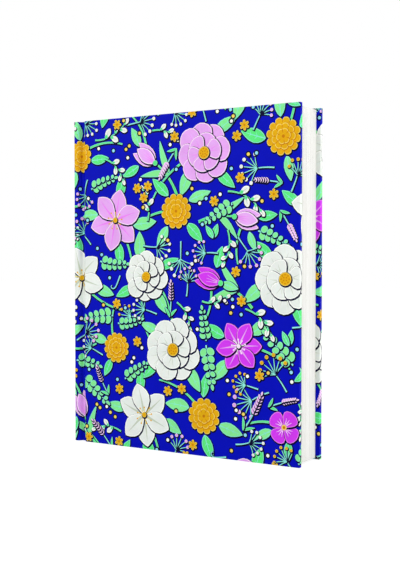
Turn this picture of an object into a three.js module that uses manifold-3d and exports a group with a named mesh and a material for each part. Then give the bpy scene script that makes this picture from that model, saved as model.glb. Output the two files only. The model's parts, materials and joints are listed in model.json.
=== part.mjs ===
// A hardcover lined notebook, closed and standing on its tail edge.
// Millimetres. +Z runs from tail to head, the front cover faces -Y and the spine is at -X.
// The origin is at the middle of the footprint, on the surface the notebook stands on.

import * as THREE from 'three';
import { mergeVertices } from 'three/addons/utils/BufferGeometryUtils.js';
import Module from 'manifold-3d';

const wasm = await Module();
wasm.setup();

// Driving dimensions of the page block
const leafWidth = 162;
const leafHeight = 214;
const leafThickness = 0.1;
const leafAir = 0.022;
const leavesPerSection = 16;
const sectionCount = 12;
const sectionAir = 0.12;
const foldDepth = 1.8;
const foldRounding = 0.9;
const centreFoldWall = 0.35;

// Endpapers
const endpaperThickness = 0.16;
const flyleafAir = 0.1;
const coverAir = 0.2;

// Sewing, spine linings and bands
const threadDiameter = 0.4;
const threadRows = 5;
const threadMargin = 25;
const threadSeat = 0.05;
const mullThickness = 0.25;
const mullMargin = 12;
const kraftThickness = 0.25;
const bandBead = 1.5;
const bandSkirt = 8;
const bandSkirtThickness = 0.25;
const bandAir = 0.12;

// Case
const boardThickness = 2.2;
const spineBoardThickness = 2;
const wrapThickness = 0.3;
const turnIn = 15;
const mitreGap = 0.3;
const square = 3;
const headSquare = 1;
const hollowAir = 0.15;
const creaseAir = 0.2;
const grooveSlope = 2.6;
const grooveFloor = 3.6;
const grooveEdgeAir = 0.4;
const jointLiningThickness = 0.2;

// Smoothness of curved outlines
const foldSteps = 6;
const slopeSteps = 8;
const edgeSteps = 2;
const threadSides = 6;
const beadSteps = 10;

// Page block across its thickness, counted from the middle leaf
const leafPitch = leafThickness + leafAir;
const sectionThickness = leavesPerSection * leafPitch - leafAir;
const sectionPitch = sectionThickness + sectionAir;
const blockHalf = (sectionCount * sectionPitch - sectionAir) / 2;
const flyleafInner = blockHalf + flyleafAir;
const flyleafOuter = flyleafInner + endpaperThickness;
const pastedownFace = flyleafOuter + coverAir;
const turnInFace = pastedownFace + endpaperThickness;
const boardInner = turnInFace + wrapThickness;
const boardOuter = boardInner + boardThickness;
const coverOuter = boardOuter + wrapThickness;

// Along the width, each stop set back from the folds
const mullBack = threadSeat + threadDiameter + threadSeat;
const kraftBack = mullBack + mullThickness;
const liningBack = kraftBack + kraftThickness;
const spineBoardInner = liningBack + hollowAir + wrapThickness;
const spineBoardOuter = spineBoardInner + spineBoardThickness;
const spineFace = spineBoardOuter + wrapThickness;

const coverHeight = leafHeight + 2 * headSquare;
const coverWidth = spineFace + leafWidth + square;
const foldX = -coverWidth / 2 + spineFace;
const foreEdgeX = foldX + leafWidth;
const coverEdgeX = foreEdgeX + square;
const headZ = coverHeight - headSquare;

// The joint: over the spine board's edge, down the slope, along the groove's floor to the board
const creaseX = foldX - spineBoardOuter + creaseAir;
const shoulderX = foldX - spineBoardInner + hollowAir;
const floorX = shoulderX + grooveSlope;
const grooveX = floorX + grooveFloor;
const coverX = grooveX + grooveEdgeAir;
const shoulderY = coverOuter - wrapThickness / 2;
const floorInner = flyleafOuter + flyleafAir + jointLiningThickness;
const floorY = floorInner + wrapThickness / 2;

const printedWrap = new THREE.MeshStandardMaterial({ color: 0x1416b4, roughness: 0.42, metalness: 0 });
const printedSpine = new THREE.MeshStandardMaterial({ color: 0x1214a8, roughness: 0.42, metalness: 0 });
const greyBoard = new THREE.MeshStandardMaterial({ color: 0x9a9488, roughness: 0.9, metalness: 0 });
const endpaper = new THREE.MeshStandardMaterial({ color: 0xf6f5f1, roughness: 0.85, metalness: 0 });
const pagePaper = new THREE.MeshStandardMaterial({ color: 0xfbfbf8, roughness: 0.88, metalness: 0 });
const gauze = new THREE.MeshStandardMaterial({ color: 0xe6e1d2, roughness: 0.95, metalness: 0 });
const kraftPaper = new THREE.MeshStandardMaterial({ color: 0xb08a5c, roughness: 0.9, metalness: 0 });
const cottonThread = new THREE.MeshStandardMaterial({ color: 0xf2efe6, roughness: 0.9, metalness: 0 });
const wovenBand = new THREE.MeshStandardMaterial({ color: 0xf4f3ee, roughness: 0.8, metalness: 0 });

function named(name, geometry, material) {
  const mesh = new THREE.Mesh(geometry, material);
  mesh.name = name;
  return mesh;
}

function slab([x0, x1], [y0, y1], [z0, z1]) {
  const box = new THREE.BoxGeometry(x1 - x0, y1 - y0, z1 - z0);
  box.translate((x0 + x1) / 2, (y0 + y1) / 2, (z0 + z1) / 2);
  return box;
}

function prism(points, z0, z1) {
  const solid = new THREE.ExtrudeGeometry(new THREE.Shape(points), { depth: z1 - z0, bevelEnabled: false });
  solid.translate(0, 0, z0);
  return solid;
}

function toSolid(geometry) {
  const bare = geometry.clone();
  bare.deleteAttribute('normal');
  bare.deleteAttribute('uv');
  const merged = mergeVertices(bare, 1e-5);
  const vertProperties = new Float32Array(merged.attributes.position.array);
  const triVerts = new Uint32Array(merged.index.array);
  return new wasm.Manifold(new wasm.Mesh({ numProp: 3, vertProperties, triVerts }));
}

function toGeometry(solid) {
  const mesh = solid.getMesh();
  const geometry = new THREE.BufferGeometry();
  geometry.setAttribute('position', new THREE.BufferAttribute(new Float32Array(mesh.vertProperties), 3));
  geometry.setIndex(new THREE.BufferAttribute(new Uint32Array(mesh.triVerts), 1));
  geometry.computeVertexNormals();
  return geometry;
}

// A plate whose paper-thin edges are rounded over, as wrap drawn round a board is.
function roundedPlate([x0, x1], [y0, y1], [z0, z1], radius) {
  const outline = new THREE.Shape([
    new THREE.Vector2(x0 + radius, z0 + radius),
    new THREE.Vector2(x1 - radius, z0 + radius),
    new THREE.Vector2(x1 - radius, z1 - radius),
    new THREE.Vector2(x0 + radius, z1 - radius),
  ]);
  const plate = new THREE.ExtrudeGeometry(outline, {
    depth: y1 - y0 - 2 * radius,
    bevelThickness: radius,
    bevelSize: radius,
    bevelSegments: edgeSteps,
  });
  plate.rotateX(Math.PI / 2);
  plate.translate(0, y1 - radius, 0);
  return plate;
}

// One sewn section seen from above: folded sheets held at a rounded fold, and loose leaves out to the fore edge.
function sectionOutline(y0) {
  const points = [];
  for (let leaf = 0; leaf < leavesPerSection; leaf += 1) {
    const near = y0 + leaf * leafPitch;
    const far = near + leafThickness;
    const centre = leaf === leavesPerSection / 2 - 1;
    const slitX = foldX + (centre ? centreFoldWall : foldDepth);
    points.push(new THREE.Vector2(foreEdgeX, near), new THREE.Vector2(foreEdgeX, far));
    if (leaf < leavesPerSection - 1) {
      points.push(new THREE.Vector2(slitX, far), new THREE.Vector2(slitX, far + leafAir));
    }
  }
  const middle = y0 + sectionThickness / 2;
  for (let step = 0; step <= foldSteps; step += 1) {
    const angle = Math.PI * (0.5 - step / foldSteps);
    const x = foldX + foldRounding * (1 - Math.cos(angle));
    points.push(new THREE.Vector2(x, middle + (sectionThickness / 2) * Math.sin(angle)));
  }
  return points;
}

function makeSections() {
  const sections = new THREE.Group();
  for (let index = 0; index < sectionCount; index += 1) {
    const outline = sectionOutline(-blockHalf + index * sectionPitch);
    const name = `section_${String(index + 1).padStart(2, '0')}`;
    sections.add(named(name, prism(outline, headSquare, headZ), pagePaper));
  }
  return sections;
}

// A row of stitches lies over the folds and dips between them.
function makeThreadRow(row) {
  const z = threadMargin + (row * (coverHeight - 2 * threadMargin)) / (threadRows - 1);
  const x = foldX - threadSeat - threadDiameter / 2;
  const start = new THREE.Vector3(x, -blockHalf, z);
  const end = new THREE.Vector3(x, blockHalf, z);
  const outline = new THREE.Shape();
  outline.absarc(0, 0, threadDiameter / 2, 0, 2 * Math.PI, false);
  const stitch = new THREE.ExtrudeGeometry(outline, {
    steps: 1,
    curveSegments: threadSides,
    extrudePath: new THREE.LineCurve3(start, end),
    bevelEnabled: false,
  });
  return named(`sewing_thread_${row + 1}`, stitch, cottonThread);
}

// A beaded band: the bead sits on the ends of the folds, the skirt is glued down the back of the block.
function bandOutline() {
  const beadX = foldX + bandBead / 2;
  const outline = new THREE.Shape();
  outline.moveTo(foldX - threadSeat - bandSkirtThickness, -bandSkirt);
  outline.lineTo(foldX - threadSeat, -bandSkirt);
  outline.lineTo(foldX - threadSeat, bandAir);
  outline.lineTo(beadX + bandBead / 2, bandAir);
  outline.absarc(beadX, bandAir, bandBead / 2, 0, Math.PI / 2, false);
  outline.lineTo(foldX - threadSeat - bandSkirtThickness, bandAir + bandBead / 2);
  return outline;
}

function makeBand(name, atHead) {
  const band = new THREE.ExtrudeGeometry(bandOutline(), {
    depth: 2 * blockHalf,
    curveSegments: beadSteps,
    bevelEnabled: false,
  });
  band.rotateX(Math.PI / 2);
  band.translate(0, blockHalf, headZ);
  const mesh = named(name, band, wovenBand);
  if (!atHead) {
    mesh.rotation.x = Math.PI;
    mesh.position.z = coverHeight;
  }
  return mesh;
}

// The spine's printed face seen from above, rounded where the joints leave it.
function spineFaceOutline() {
  const centreX = foldX - spineBoardOuter;
  const centreY = coverOuter - wrapThickness;
  const outline = new THREE.Shape();
  outline.absarc(centreX, centreY, wrapThickness, Math.PI / 2, Math.PI, false);
  outline.absarc(centreX, -centreY, wrapThickness, Math.PI, 1.5 * Math.PI, false);
  return outline.getPoints(edgeSteps);
}

function makeSpine() {
  const spine = new THREE.Group();
  const boardX = [foldX - spineBoardOuter, foldX - spineBoardInner];
  const boardY = [-(boardOuter - creaseAir / 2), boardOuter - creaseAir / 2];
  const boardZ = [wrapThickness, coverHeight - wrapThickness];
  const board = slab(boardX, boardY, boardZ);
  spine.add(named('spine_board', board, greyBoard));

  // The wrap's spine stretch: the printed face, turned in over the board's head and tail.
  const face = prism(spineFaceOutline(), 0, coverHeight);
  const turned = slab([foldX - spineBoardOuter - wrapThickness / 2, foldX - spineBoardInner + wrapThickness], boardY,
    [0, coverHeight]);
  const inside = slab([foldX - spineBoardInner, foldX], [-coverHeight, coverHeight],
    [turnIn, coverHeight - turnIn]);
  const wrap = toSolid(face).add(toSolid(turned)).subtract(toSolid(board)).subtract(toSolid(inside));
  spine.add(named('spine_wrap', toGeometry(wrap), printedSpine));

  const kraft = slab([foldX - liningBack, foldX - kraftBack], [-blockHalf, blockHalf], [headSquare, headZ]);
  spine.add(named('spine_kraft_lining', kraft, kraftPaper));
  const mull = slab([foldX - kraftBack, foldX - mullBack], [-blockHalf, blockHalf],
    [headSquare + mullMargin, headZ - mullMargin]);
  spine.add(named('spine_mull', mull, gauze));
  for (let row = 0; row < threadRows; row += 1) {
    spine.add(makeThreadRow(row));
  }
  spine.add(makeBand('head_band', true), makeBand('tail_band', false));
  return spine;
}

// The wrap over a joint, seen from above: shoulder, smooth slope, groove floor.
function jointLine() {
  const line = [new THREE.Vector2(creaseX, -shoulderY), new THREE.Vector2(shoulderX, -shoulderY)];
  for (let step = 1; step <= slopeSteps; step += 1) {
    const t = step / slopeSteps;
    const fall = t * t * (3 - 2 * t);
    line.push(new THREE.Vector2(shoulderX + grooveSlope * t, -shoulderY + fall * (shoulderY - floorY)));
  }
  line.push(new THREE.Vector2(grooveX, -floorY));
  return line;
}

// A strip of even thickness about a line.
function stripOutline(line, thickness) {
  const side = (sign) => line.map((point, index) => {
    const before = line[Math.max(index - 1, 0)];
    const after = line[Math.min(index + 1, line.length - 1)];
    const along = after.clone().sub(before).normalize();
    return new THREE.Vector2(point.x - along.y * sign * thickness / 2, point.y + along.x * sign * thickness / 2);
  });
  return [...side(-1), ...side(1).reverse()];
}

// One cover with its joint and flyleaf, drawn as the front one.
function makeSide(side) {
  const group = new THREE.Group();
  const boardBox = [
    [coverX + wrapThickness, coverEdgeX - wrapThickness],
    [-boardOuter, -boardInner],
    [wrapThickness, coverHeight - wrapThickness],
  ];
  const board = slab(...boardBox);
  group.add(named(`${side}_board`, board, greyBoard));

  const outside = roundedPlate([coverX, coverEdgeX], [-coverOuter, -turnInFace], [0, coverHeight], wrapThickness);
  const insideWindow = slab([coverX - 1, coverEdgeX - turnIn], [-boardInner, 0], [turnIn, coverHeight - turnIn]);
  let wrap = toSolid(outside).subtract(toSolid(board)).subtract(toSolid(insideWindow));
  for (const atHead of [false, true]) {
    const slit = slab([-turnIn * 2, turnIn * 2], [-boardInner, 0], [-mitreGap / 2, mitreGap / 2]);
    slit.rotateY(atHead ? -Math.PI / 4 : Math.PI / 4);
    slit.translate(coverEdgeX - turnIn, 0, atHead ? coverHeight - turnIn : turnIn);
    const corner = slab([coverEdgeX - turnIn - 1, coverEdgeX - 2 * wrapThickness], [-boardInner, 0],
      atHead ? [coverHeight - turnIn - 1, coverHeight - 2 * wrapThickness] : [2 * wrapThickness, turnIn + 1]);
    wrap = wrap.subtract(toSolid(slit).intersect(toSolid(corner)));
  }
  group.add(named(`${side}_cover_wrap`, toGeometry(wrap), printedWrap));

  // The pastedown covers the turn-ins but for a margin, and is pressed down onto the board between them.
  const sheet = slab([coverX + wrapThickness, foreEdgeX], [-turnInFace, -pastedownFace],
    [headSquare, headZ]);
  const pressed = slab([coverX + wrapThickness, coverEdgeX - turnIn], [-boardInner, -pastedownFace],
    [turnIn, coverHeight - turnIn]);
  group.add(named(`${side}_pastedown`, toGeometry(toSolid(sheet).add(toSolid(pressed))), endpaper));

  const joint = prism(stripOutline(jointLine(), wrapThickness), 0, coverHeight);
  group.add(named(`${side}_joint_wrap`, joint, printedWrap));
  const lining = slab([floorX, grooveX], [-floorInner, -floorInner + jointLiningThickness],
    [headSquare, headZ]);
  group.add(named(`${side}_joint_lining`, lining, endpaper));

  const flyleaf = slab([foldX + foldRounding / 2, foreEdgeX], [-flyleafOuter, -flyleafInner],
    [headSquare, headZ]);
  group.add(named(`${side}_flyleaf`, flyleaf, endpaper));
  return group;
}

const notebook = new THREE.Group();
notebook.add(makeSpine());
notebook.add(makeSections());
notebook.add(makeSide('front'));

const back = makeSide('back');
back.rotation.x = Math.PI;
back.position.z = coverHeight;
notebook.add(back);

export default notebook;
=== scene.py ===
"""Dresses a case-bound lined notebook: printed cover, sewn leaves, endpapers, sewing, spine linings and bands.

Everything is in metres in the frame's own axes, but for the print, which is laid out flat in millimetres
and then folded round the case. The notebook stands on its tail edge, spine at -X, front cover facing -Y."""

import json
import math
import random

import bpy
import numpy as np
from bpy.props import FloatProperty, FloatVectorProperty, IntProperty, PointerProperty
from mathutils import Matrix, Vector
from mathutils.geometry import delaunay_2d_cdt


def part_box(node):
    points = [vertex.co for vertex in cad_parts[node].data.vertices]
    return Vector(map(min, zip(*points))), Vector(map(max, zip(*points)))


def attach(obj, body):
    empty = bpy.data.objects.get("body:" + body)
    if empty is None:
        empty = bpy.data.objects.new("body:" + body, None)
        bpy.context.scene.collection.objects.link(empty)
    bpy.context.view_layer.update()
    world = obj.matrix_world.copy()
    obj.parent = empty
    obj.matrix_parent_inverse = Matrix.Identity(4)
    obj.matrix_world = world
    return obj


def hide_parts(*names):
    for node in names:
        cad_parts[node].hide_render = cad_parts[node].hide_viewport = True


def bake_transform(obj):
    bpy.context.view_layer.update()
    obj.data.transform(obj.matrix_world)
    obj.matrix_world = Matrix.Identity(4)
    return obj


bl_info = {
    "name": "Hardcover lined notebook",
    "version": (1, 0, 0),
    "blender": (4, 5, 0),
    "location": "3D View > Sidebar > Notebook",
    "description": "Dresses a case-bound notebook with its printed cover, sewn leaves, endpapers and bands",
    "category": "Object",
}

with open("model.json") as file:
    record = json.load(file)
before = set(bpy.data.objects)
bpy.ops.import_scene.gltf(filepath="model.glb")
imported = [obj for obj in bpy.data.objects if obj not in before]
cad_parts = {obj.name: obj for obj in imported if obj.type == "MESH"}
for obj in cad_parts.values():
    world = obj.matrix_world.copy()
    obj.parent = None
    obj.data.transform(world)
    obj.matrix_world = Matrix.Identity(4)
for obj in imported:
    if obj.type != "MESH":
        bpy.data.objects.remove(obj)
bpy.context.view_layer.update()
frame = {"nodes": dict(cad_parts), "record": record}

MM = 0.001
SIDES = {"front": 1, "back": -1}
SECTION_COUNT = sum(name.startswith("section_") for name in frame["nodes"])
PRINTED_PAPER = 0.3  # mm, the wrap with its lamination
TURN_IN = 15.0  # mm
MITRE_GAP = 0.2  # mm, at the inner end of a mitre
HEM_AIR = 0.05  # mm between the wrap doubled under at the joints' ends and the lining
SHOULDER = 2.6  # mm, the slope from the spine's side down to the groove's floor
RISE_START = 2.575  # mm before the end of the groove, where the wrap leaves its floor for the board
PARTING = 0.4  # mm past the start of the groove's floor, where the wrap over the joint is parted
RISE_END = 0.725  # mm past the end of the groove, where the wrap is level with the board's face
ARC_STEPS = 4  # round the spine board's edge
SLOPE_STEPS = 12
MAP_MARGIN = 1.02  # the side of the map's square over the flat sheet's longer side
MAP_BACK = 0.995  # where the plain back lies on the map, both ways
BRUSH_PLANES = 3.7  # mm between the planes of noise that two shapes' brush streaks are cut from
WINDING_SHARE = 0.54  # a winding's radius over its pitch; a little over half, so that the turns touch

# The inputs and the output of a Mix node that blends colours.
FACTOR, FIRST, SECOND, BLEND = 0, 6, 7, 2


def linear(hex_colour):
    """Turns an sRGB hex colour into the linear red, green, blue and alpha that shaders take."""
    shares = [int(hex_colour[i : i + 2], 16) / 255 for i in (1, 3, 5)]
    return tuple(c / 12.92 if c <= 0.04045 else ((c + 0.055) / 1.055) ** 2.4 for c in shares) + (1.0,)


def colour(name, description, hex_colour):
    """A colour property with its default."""
    return FloatVectorProperty(
        name=name, description=description, subtype="COLOR", size=4, min=0, max=1, default=linear(hex_colour)
    )


def length(name, description, default):
    """A length property in metres."""
    return FloatProperty(name=name, description=description, unit="LENGTH", default=default, precision=5)


class NotebookPrint(bpy.types.PropertyGroup):
    """Inks and scale of the printed cover."""

    ground: colour("Ground", "Cobalt behind the flowers", "#000AB4")
    outline: colour("Outline", "Near-black navy brushed round every shape", "#02022C")
    cream: colour("Cream", "Body of the pale petals", "#E6ECE6")
    white: colour("White", "Rims of the pale petals", "#FBFDF7")
    shade: colour("Petal shade", "Folds of the pale petals", "#C3CDB9")
    gold: colour("Gold", "Flower centres", "#E0A90F")
    pale_gold: colour("Pale gold", "Rims of the gold shapes", "#F0D463")
    amber: colour("Amber", "Dots and folds in the gold", "#C57A08")
    pink: colour("Pink", "Body of the pink petals", "#E3A6EE")
    blush: colour("Blush", "Rims of the pink petals", "#F7DDF8")
    magenta: colour("Magenta", "Strongest petals", "#D03AEC")
    orchid: colour("Orchid", "Rims and folds between pink and magenta", "#E884F0")
    green: colour("Green", "Larger leaves", "#5CE67C")
    light_green: colour("Light green", "Smaller leaves", "#84EA92")
    mint: colour("Mint", "Stems, sprigs and leaf rims", "#88E6D0")
    aqua: colour("Aqua", "Finest stems", "#92DCF2")
    paper: colour("Paper", "Unprinted back of the wrap", "#EEEDE6")
    bloom_radius: length("Bloom radius", "Radius of the largest flowers", 0.0205)
    outline_width: length("Outline width", "How far the navy reaches past a shape", 0.0009)
    rim_width: length("Rim width", "Width of the light rim inside a shape", 0.00045)
    streaks: FloatProperty(name="Streaks", description="Strength of the brush streaks", default=0.34, min=0, max=1)
    layout_seed: IntProperty(name="Layout seed", description="Seed of the flowers' places", default=31, min=0)


class NotebookPages(bpy.types.PropertyGroup):
    """Leaves, endpapers and ruling."""

    paper: colour("Paper", "Cut edges of the uncoated white paper", "#FAFAF7")
    # Page faces are drawn a little darker than the cut edges of the same paper.
    face: colour("Page face", "Faces of the same paper, a little toned by its filler", "#EFEEE9")
    rule: colour("Rule", "Printed rules", "#8096BC")
    endpaper: colour("Endpaper", "Heavier white endpaper", "#F5F4EF")
    rule_spacing: length("Rule spacing", "From one rule to the next", 0.0071)
    rule_width: length("Rule width", "Thickness of a rule", 0.00042)
    head_margin: length("Head margin", "Blank above the first rule", 0.022)
    fore_edge_margin: length("Fore-edge margin", "Blank from a rule's end to the fore edge", 0.006)
    leaf_thickness: length("Leaf thickness", "One leaf of 80 g paper", 0.0001)
    leaf_pitch: length("Leaf pitch", "From one leaf to the next", 0.000122)
    fold_depth: length("Fold depth", "Depth of a section's rounded fold", 0.0009)
    set_back: length("Set-back", "Furthest that a leaf stands back at the fore edge", 0.00006)
    bundle: length("Bundle", "Leaves drawn as one at the head and tail", 0.00058)
    # Width of the band of painted shade over the gap between two sections.
    section_line: length("Section line", "Width of the line between two sections", 0.00055)
    leaves: IntProperty(name="Leaves", description="Leaves in a section", default=16, min=2, max=64)


class NotebookBinding(bpy.types.PropertyGroup):
    """Sewing, bands and boards."""

    thread: colour("Thread", "Bleached linen thread", "#EFEBDD")
    band: colour("Band", "Wound band thread", "#F1EEE4")
    band_shade: colour("Band second colour", "Every other winding of the band", "#C9D2E6")
    board: colour("Board", "Grey board", "#8F897C")
    kraft: colour("Kraft", "Brown kraft paper lining", "#AD8658")
    gauze: colour("Gauze", "Starched cotton mull", "#E4DECD")
    ply_radius: length("Ply radius", "Radius of one of the thread's two plies", 0.0001)
    stitch_dip: length("Stitch dip", "How far the thread dips between two folds", 0.00008)
    thread_turns: FloatProperty(name="Thread turns", description="Turns of the twist along a row", default=18)
    winding: length("Winding", "From one turn of band thread to the next", 0.00034)
    bead_radius: length("Bead radius", "Radius of a band's bead over its windings", 0.00062)
    bead_flatness: FloatProperty(name="Bead flatness", description="A bead's height over its width", default=0.62)
    bead_gap: length("Bead gap", "From the end of the leaves to a bead", 0.00012)
    bead_inset: length("Bead inset", "From the outer face of the gauze to a bead", 0.0003)
    tape_thickness: length("Tape thickness", "Thickness of a band's tape", 0.00022)
    tape_reach: length("Tape reach", "Height of a band's tape", 0.008)
    tape_past: length("Tape past", "How far the tape stands past the end of the leaves", 0.0003)
    tape_inset: length("Tape inset", "From the outer face of the gauze to the middle of the tape", 0.00014)


class NotebookStage(bpy.types.PropertyGroup):
    """Camera and light."""

    turn: FloatProperty(name="Turn", description="Camera's turn round the notebook", subtype="ANGLE",
                        default=math.radians(31.54))
    rise: FloatProperty(name="Rise", description="Camera's height as an angle", subtype="ANGLE",
                        default=math.radians(1.735))
    distance: length("Distance", "Camera to the point it looks at", 0.63)
    aim: FloatVectorProperty(name="Aim", description="Point the camera looks at", subtype="XYZ", unit="LENGTH",
                             default=(0.00576, 0.0, 0.10694))
    floor_reach: length("Floor reach", "From the middle of the floor to its edges", 3.0)
    lens: FloatProperty(name="Lens", description="Focal length in millimetres", default=61.75)
    sky: FloatProperty(name="Sky", description="Light from all round", default=0.62)
    key: FloatProperty(name="Key", description="Soft lamp at the front left, in watts", subtype="POWER", default=8.5)
    fill: FloatProperty(name="Fill", description="Soft lamp at the right, in watts", subtype="POWER", default=10.4)


# Materials


def add(tree, kind, values=(), **settings):
    """Adds a node with its settings, and sets or links its inputs, given by name or number or in their order. A node
    given as a value stands for its first output."""
    node = tree.nodes.new(kind)
    for name, value in settings.items():
        setattr(node, name, value)
    for key, value in values.items() if isinstance(values, dict) else enumerate(values):
        if isinstance(value, bpy.types.Node):
            value = value.outputs[0]
        if isinstance(value, bpy.types.NodeSocket):
            tree.links.new(value, node.inputs[key])
        else:
            node.inputs[key].default_value = value
    return node


def new_material(name):
    """A material and its node tree, still empty."""
    material = bpy.data.materials.new(name)
    material.use_nodes = True
    material.node_tree.nodes.clear()
    return material, material.node_tree


def shaded(material, values):
    """Ends a material in its shader. A value that is the same all over sits on the shader's own socket."""
    tree = material.node_tree
    add(tree, "ShaderNodeOutputMaterial", [add(tree, "ShaderNodeBsdfPrincipled", values)])
    return material


def laminated_print():
    """Litho-printed paper under a matt film: flat inks with dry brush streaks, a soft even sheen and a faint
    orange-peel in the film."""
    material, tree = new_material("matt_laminated_printed_paper")
    place = add(tree, "ShaderNodeTexCoord").outputs["Object"]
    ink, brush, body = (add(tree, "ShaderNodeAttribute", attribute_name=name) for name in ("ink", "brush", "body"))
    # Brush streaks 1 mm apart that run along each petal; the attribute is in millimetres.
    stretched = add(tree, "ShaderNodeMapping", {"Vector": brush.outputs["Vector"], "Scale": (0.09, 0.95, 1.0)})
    streaks = add(tree, "ShaderNodeTexNoise", {"Vector": stretched, "Scale": 1.0, "Detail": 3.0, "Roughness": 0.62})
    strength = bpy.context.scene.notebook_print.streaks
    amount = add(tree, "ShaderNodeMath", (body.outputs["Fac"], strength), operation="MULTIPLY")
    streaked = add(tree, "ShaderNodeMix", {FACTOR: amount, FIRST: ink, SECOND: streaks.outputs["Color"]},
                   data_type="RGBA", blend_type="SOFT_LIGHT")
    # Uneven wash of the ground, in clouds about 14 mm across.
    clouds = add(tree, "ShaderNodeTexNoise", {"Vector": place, "Scale": 70.0, "Detail": 4.0, "Roughness": 0.6})
    wash = add(tree, "ShaderNodeMapRange", {"Value": clouds, "From Min": 0.3, "From Max": 0.7, "To Min": 0.93,
                                            "To Max": 1.05})
    washed = add(tree, "ShaderNodeMix", {FACTOR: 1.0, FIRST: streaked.outputs[BLEND], SECOND: wash},
                 data_type="RGBA", blend_type="MULTIPLY")
    # The film's orange-peel, drawn at 0.7 mm so that it shows, over the board's slow waves at 30 mm.
    waves = add(tree, "ShaderNodeTexNoise", {"Vector": place, "Scale": 33.0, "Detail": 1.0})
    peel = add(tree, "ShaderNodeTexNoise", {"Vector": place, "Scale": 1400.0, "Detail": 2.0})
    board = add(tree, "ShaderNodeBump", {"Height": waves, "Distance": 0.0002})
    film = add(tree, "ShaderNodeBump", {"Height": peel, "Distance": 0.000012, "Normal": board})
    sheen = add(tree, "ShaderNodeMapRange", {"Value": clouds, "To Min": 0.42, "To Max": 0.5})
    return shaded(material, {"Base Color": washed.outputs[BLEND], "Roughness": sheen, "Specular IOR Level": 0.05,
                             "Normal": film})


def layered(tree, facing, across):
    """How light the cut head and tail are. Single leaves are too fine to show there, so they are drawn in bundles,
    with a line of painted shade where one section meets the next, for the shadow in the gap between them."""
    pages = bpy.context.scene.notebook_pages
    low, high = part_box("section_01")
    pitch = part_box("section_02")[0].y - low.y
    margin = (pitch - (high.y - low.y)) / 2
    bundles = add(tree, "ShaderNodeMath", (across, pages.bundle), operation="DIVIDE")
    bundle = add(tree, "ShaderNodeMath", [bundles], operation="FLOOR")
    tone = add(tree, "ShaderNodeTexWhiteNoise", {"W": bundle}, noise_dimensions="1D")
    level = add(tree, "ShaderNodeMapRange", {"Value": tone, "To Min": 0.86, "To Max": 1.0})
    shifted = add(tree, "ShaderNodeMath", (across, low.y - margin), operation="SUBTRACT")
    within = add(tree, "ShaderNodeMath", (shifted, pitch), operation="FLOORED_MODULO")
    centred = add(tree, "ShaderNodeMath", (within, pitch / 2), operation="SUBTRACT")
    aside = add(tree, "ShaderNodeMath", [centred], operation="ABSOLUTE")
    # Painted shade: a band 22 % darker over the gap between two sections.
    between = add(tree, "ShaderNodeMath", (aside, (pitch - pages.section_line) / 2), operation="GREATER_THAN")
    line = add(tree, "ShaderNodeMath", (between, -0.22, 1.0), operation="MULTIPLY_ADD")
    tone = add(tree, "ShaderNodeMath", (level, line), operation="MULTIPLY")
    upright = add(tree, "ShaderNodeMath", [add(tree, "ShaderNodeSeparateXYZ", [facing]).outputs["Z"]],
                  operation="ABSOLUTE")
    on_end = add(tree, "ShaderNodeMath", (upright, 0.5), operation="GREATER_THAN")
    return add(tree, "ShaderNodeMix", {FACTOR: on_end, FIRST: (1, 1, 1, 1), SECOND: tone}, data_type="RGBA")


def ruling(tree, where, page_face):
    """1 on the rules of a page's face. A rule is 0.2 mm of pale blue ink; it is drawn twice as wide and a little
    stronger, so that it shows."""
    pages = bpy.context.scene.notebook_pages
    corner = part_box("section_01")[1]
    below = add(tree, "ShaderNodeMath", (corner.z - pages.head_margin, where.outputs["Z"]), operation="SUBTRACT")
    row = add(tree, "ShaderNodeMath", (below, pages.rule_spacing), operation="FLOORED_MODULO")
    inked = add(tree, "ShaderNodeMath", (row, pages.rule_width), operation="LESS_THAN")
    started = add(tree, "ShaderNodeMath", (below, 0.0), operation="GREATER_THAN")
    inside = add(tree, "ShaderNodeMath", (where.outputs["X"], corner.x - pages.fore_edge_margin),
                 operation="LESS_THAN")
    for limit in (started, inside, page_face):
        inked = add(tree, "ShaderNodeMath", (inked, limit), operation="MULTIPLY")
    return inked


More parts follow.
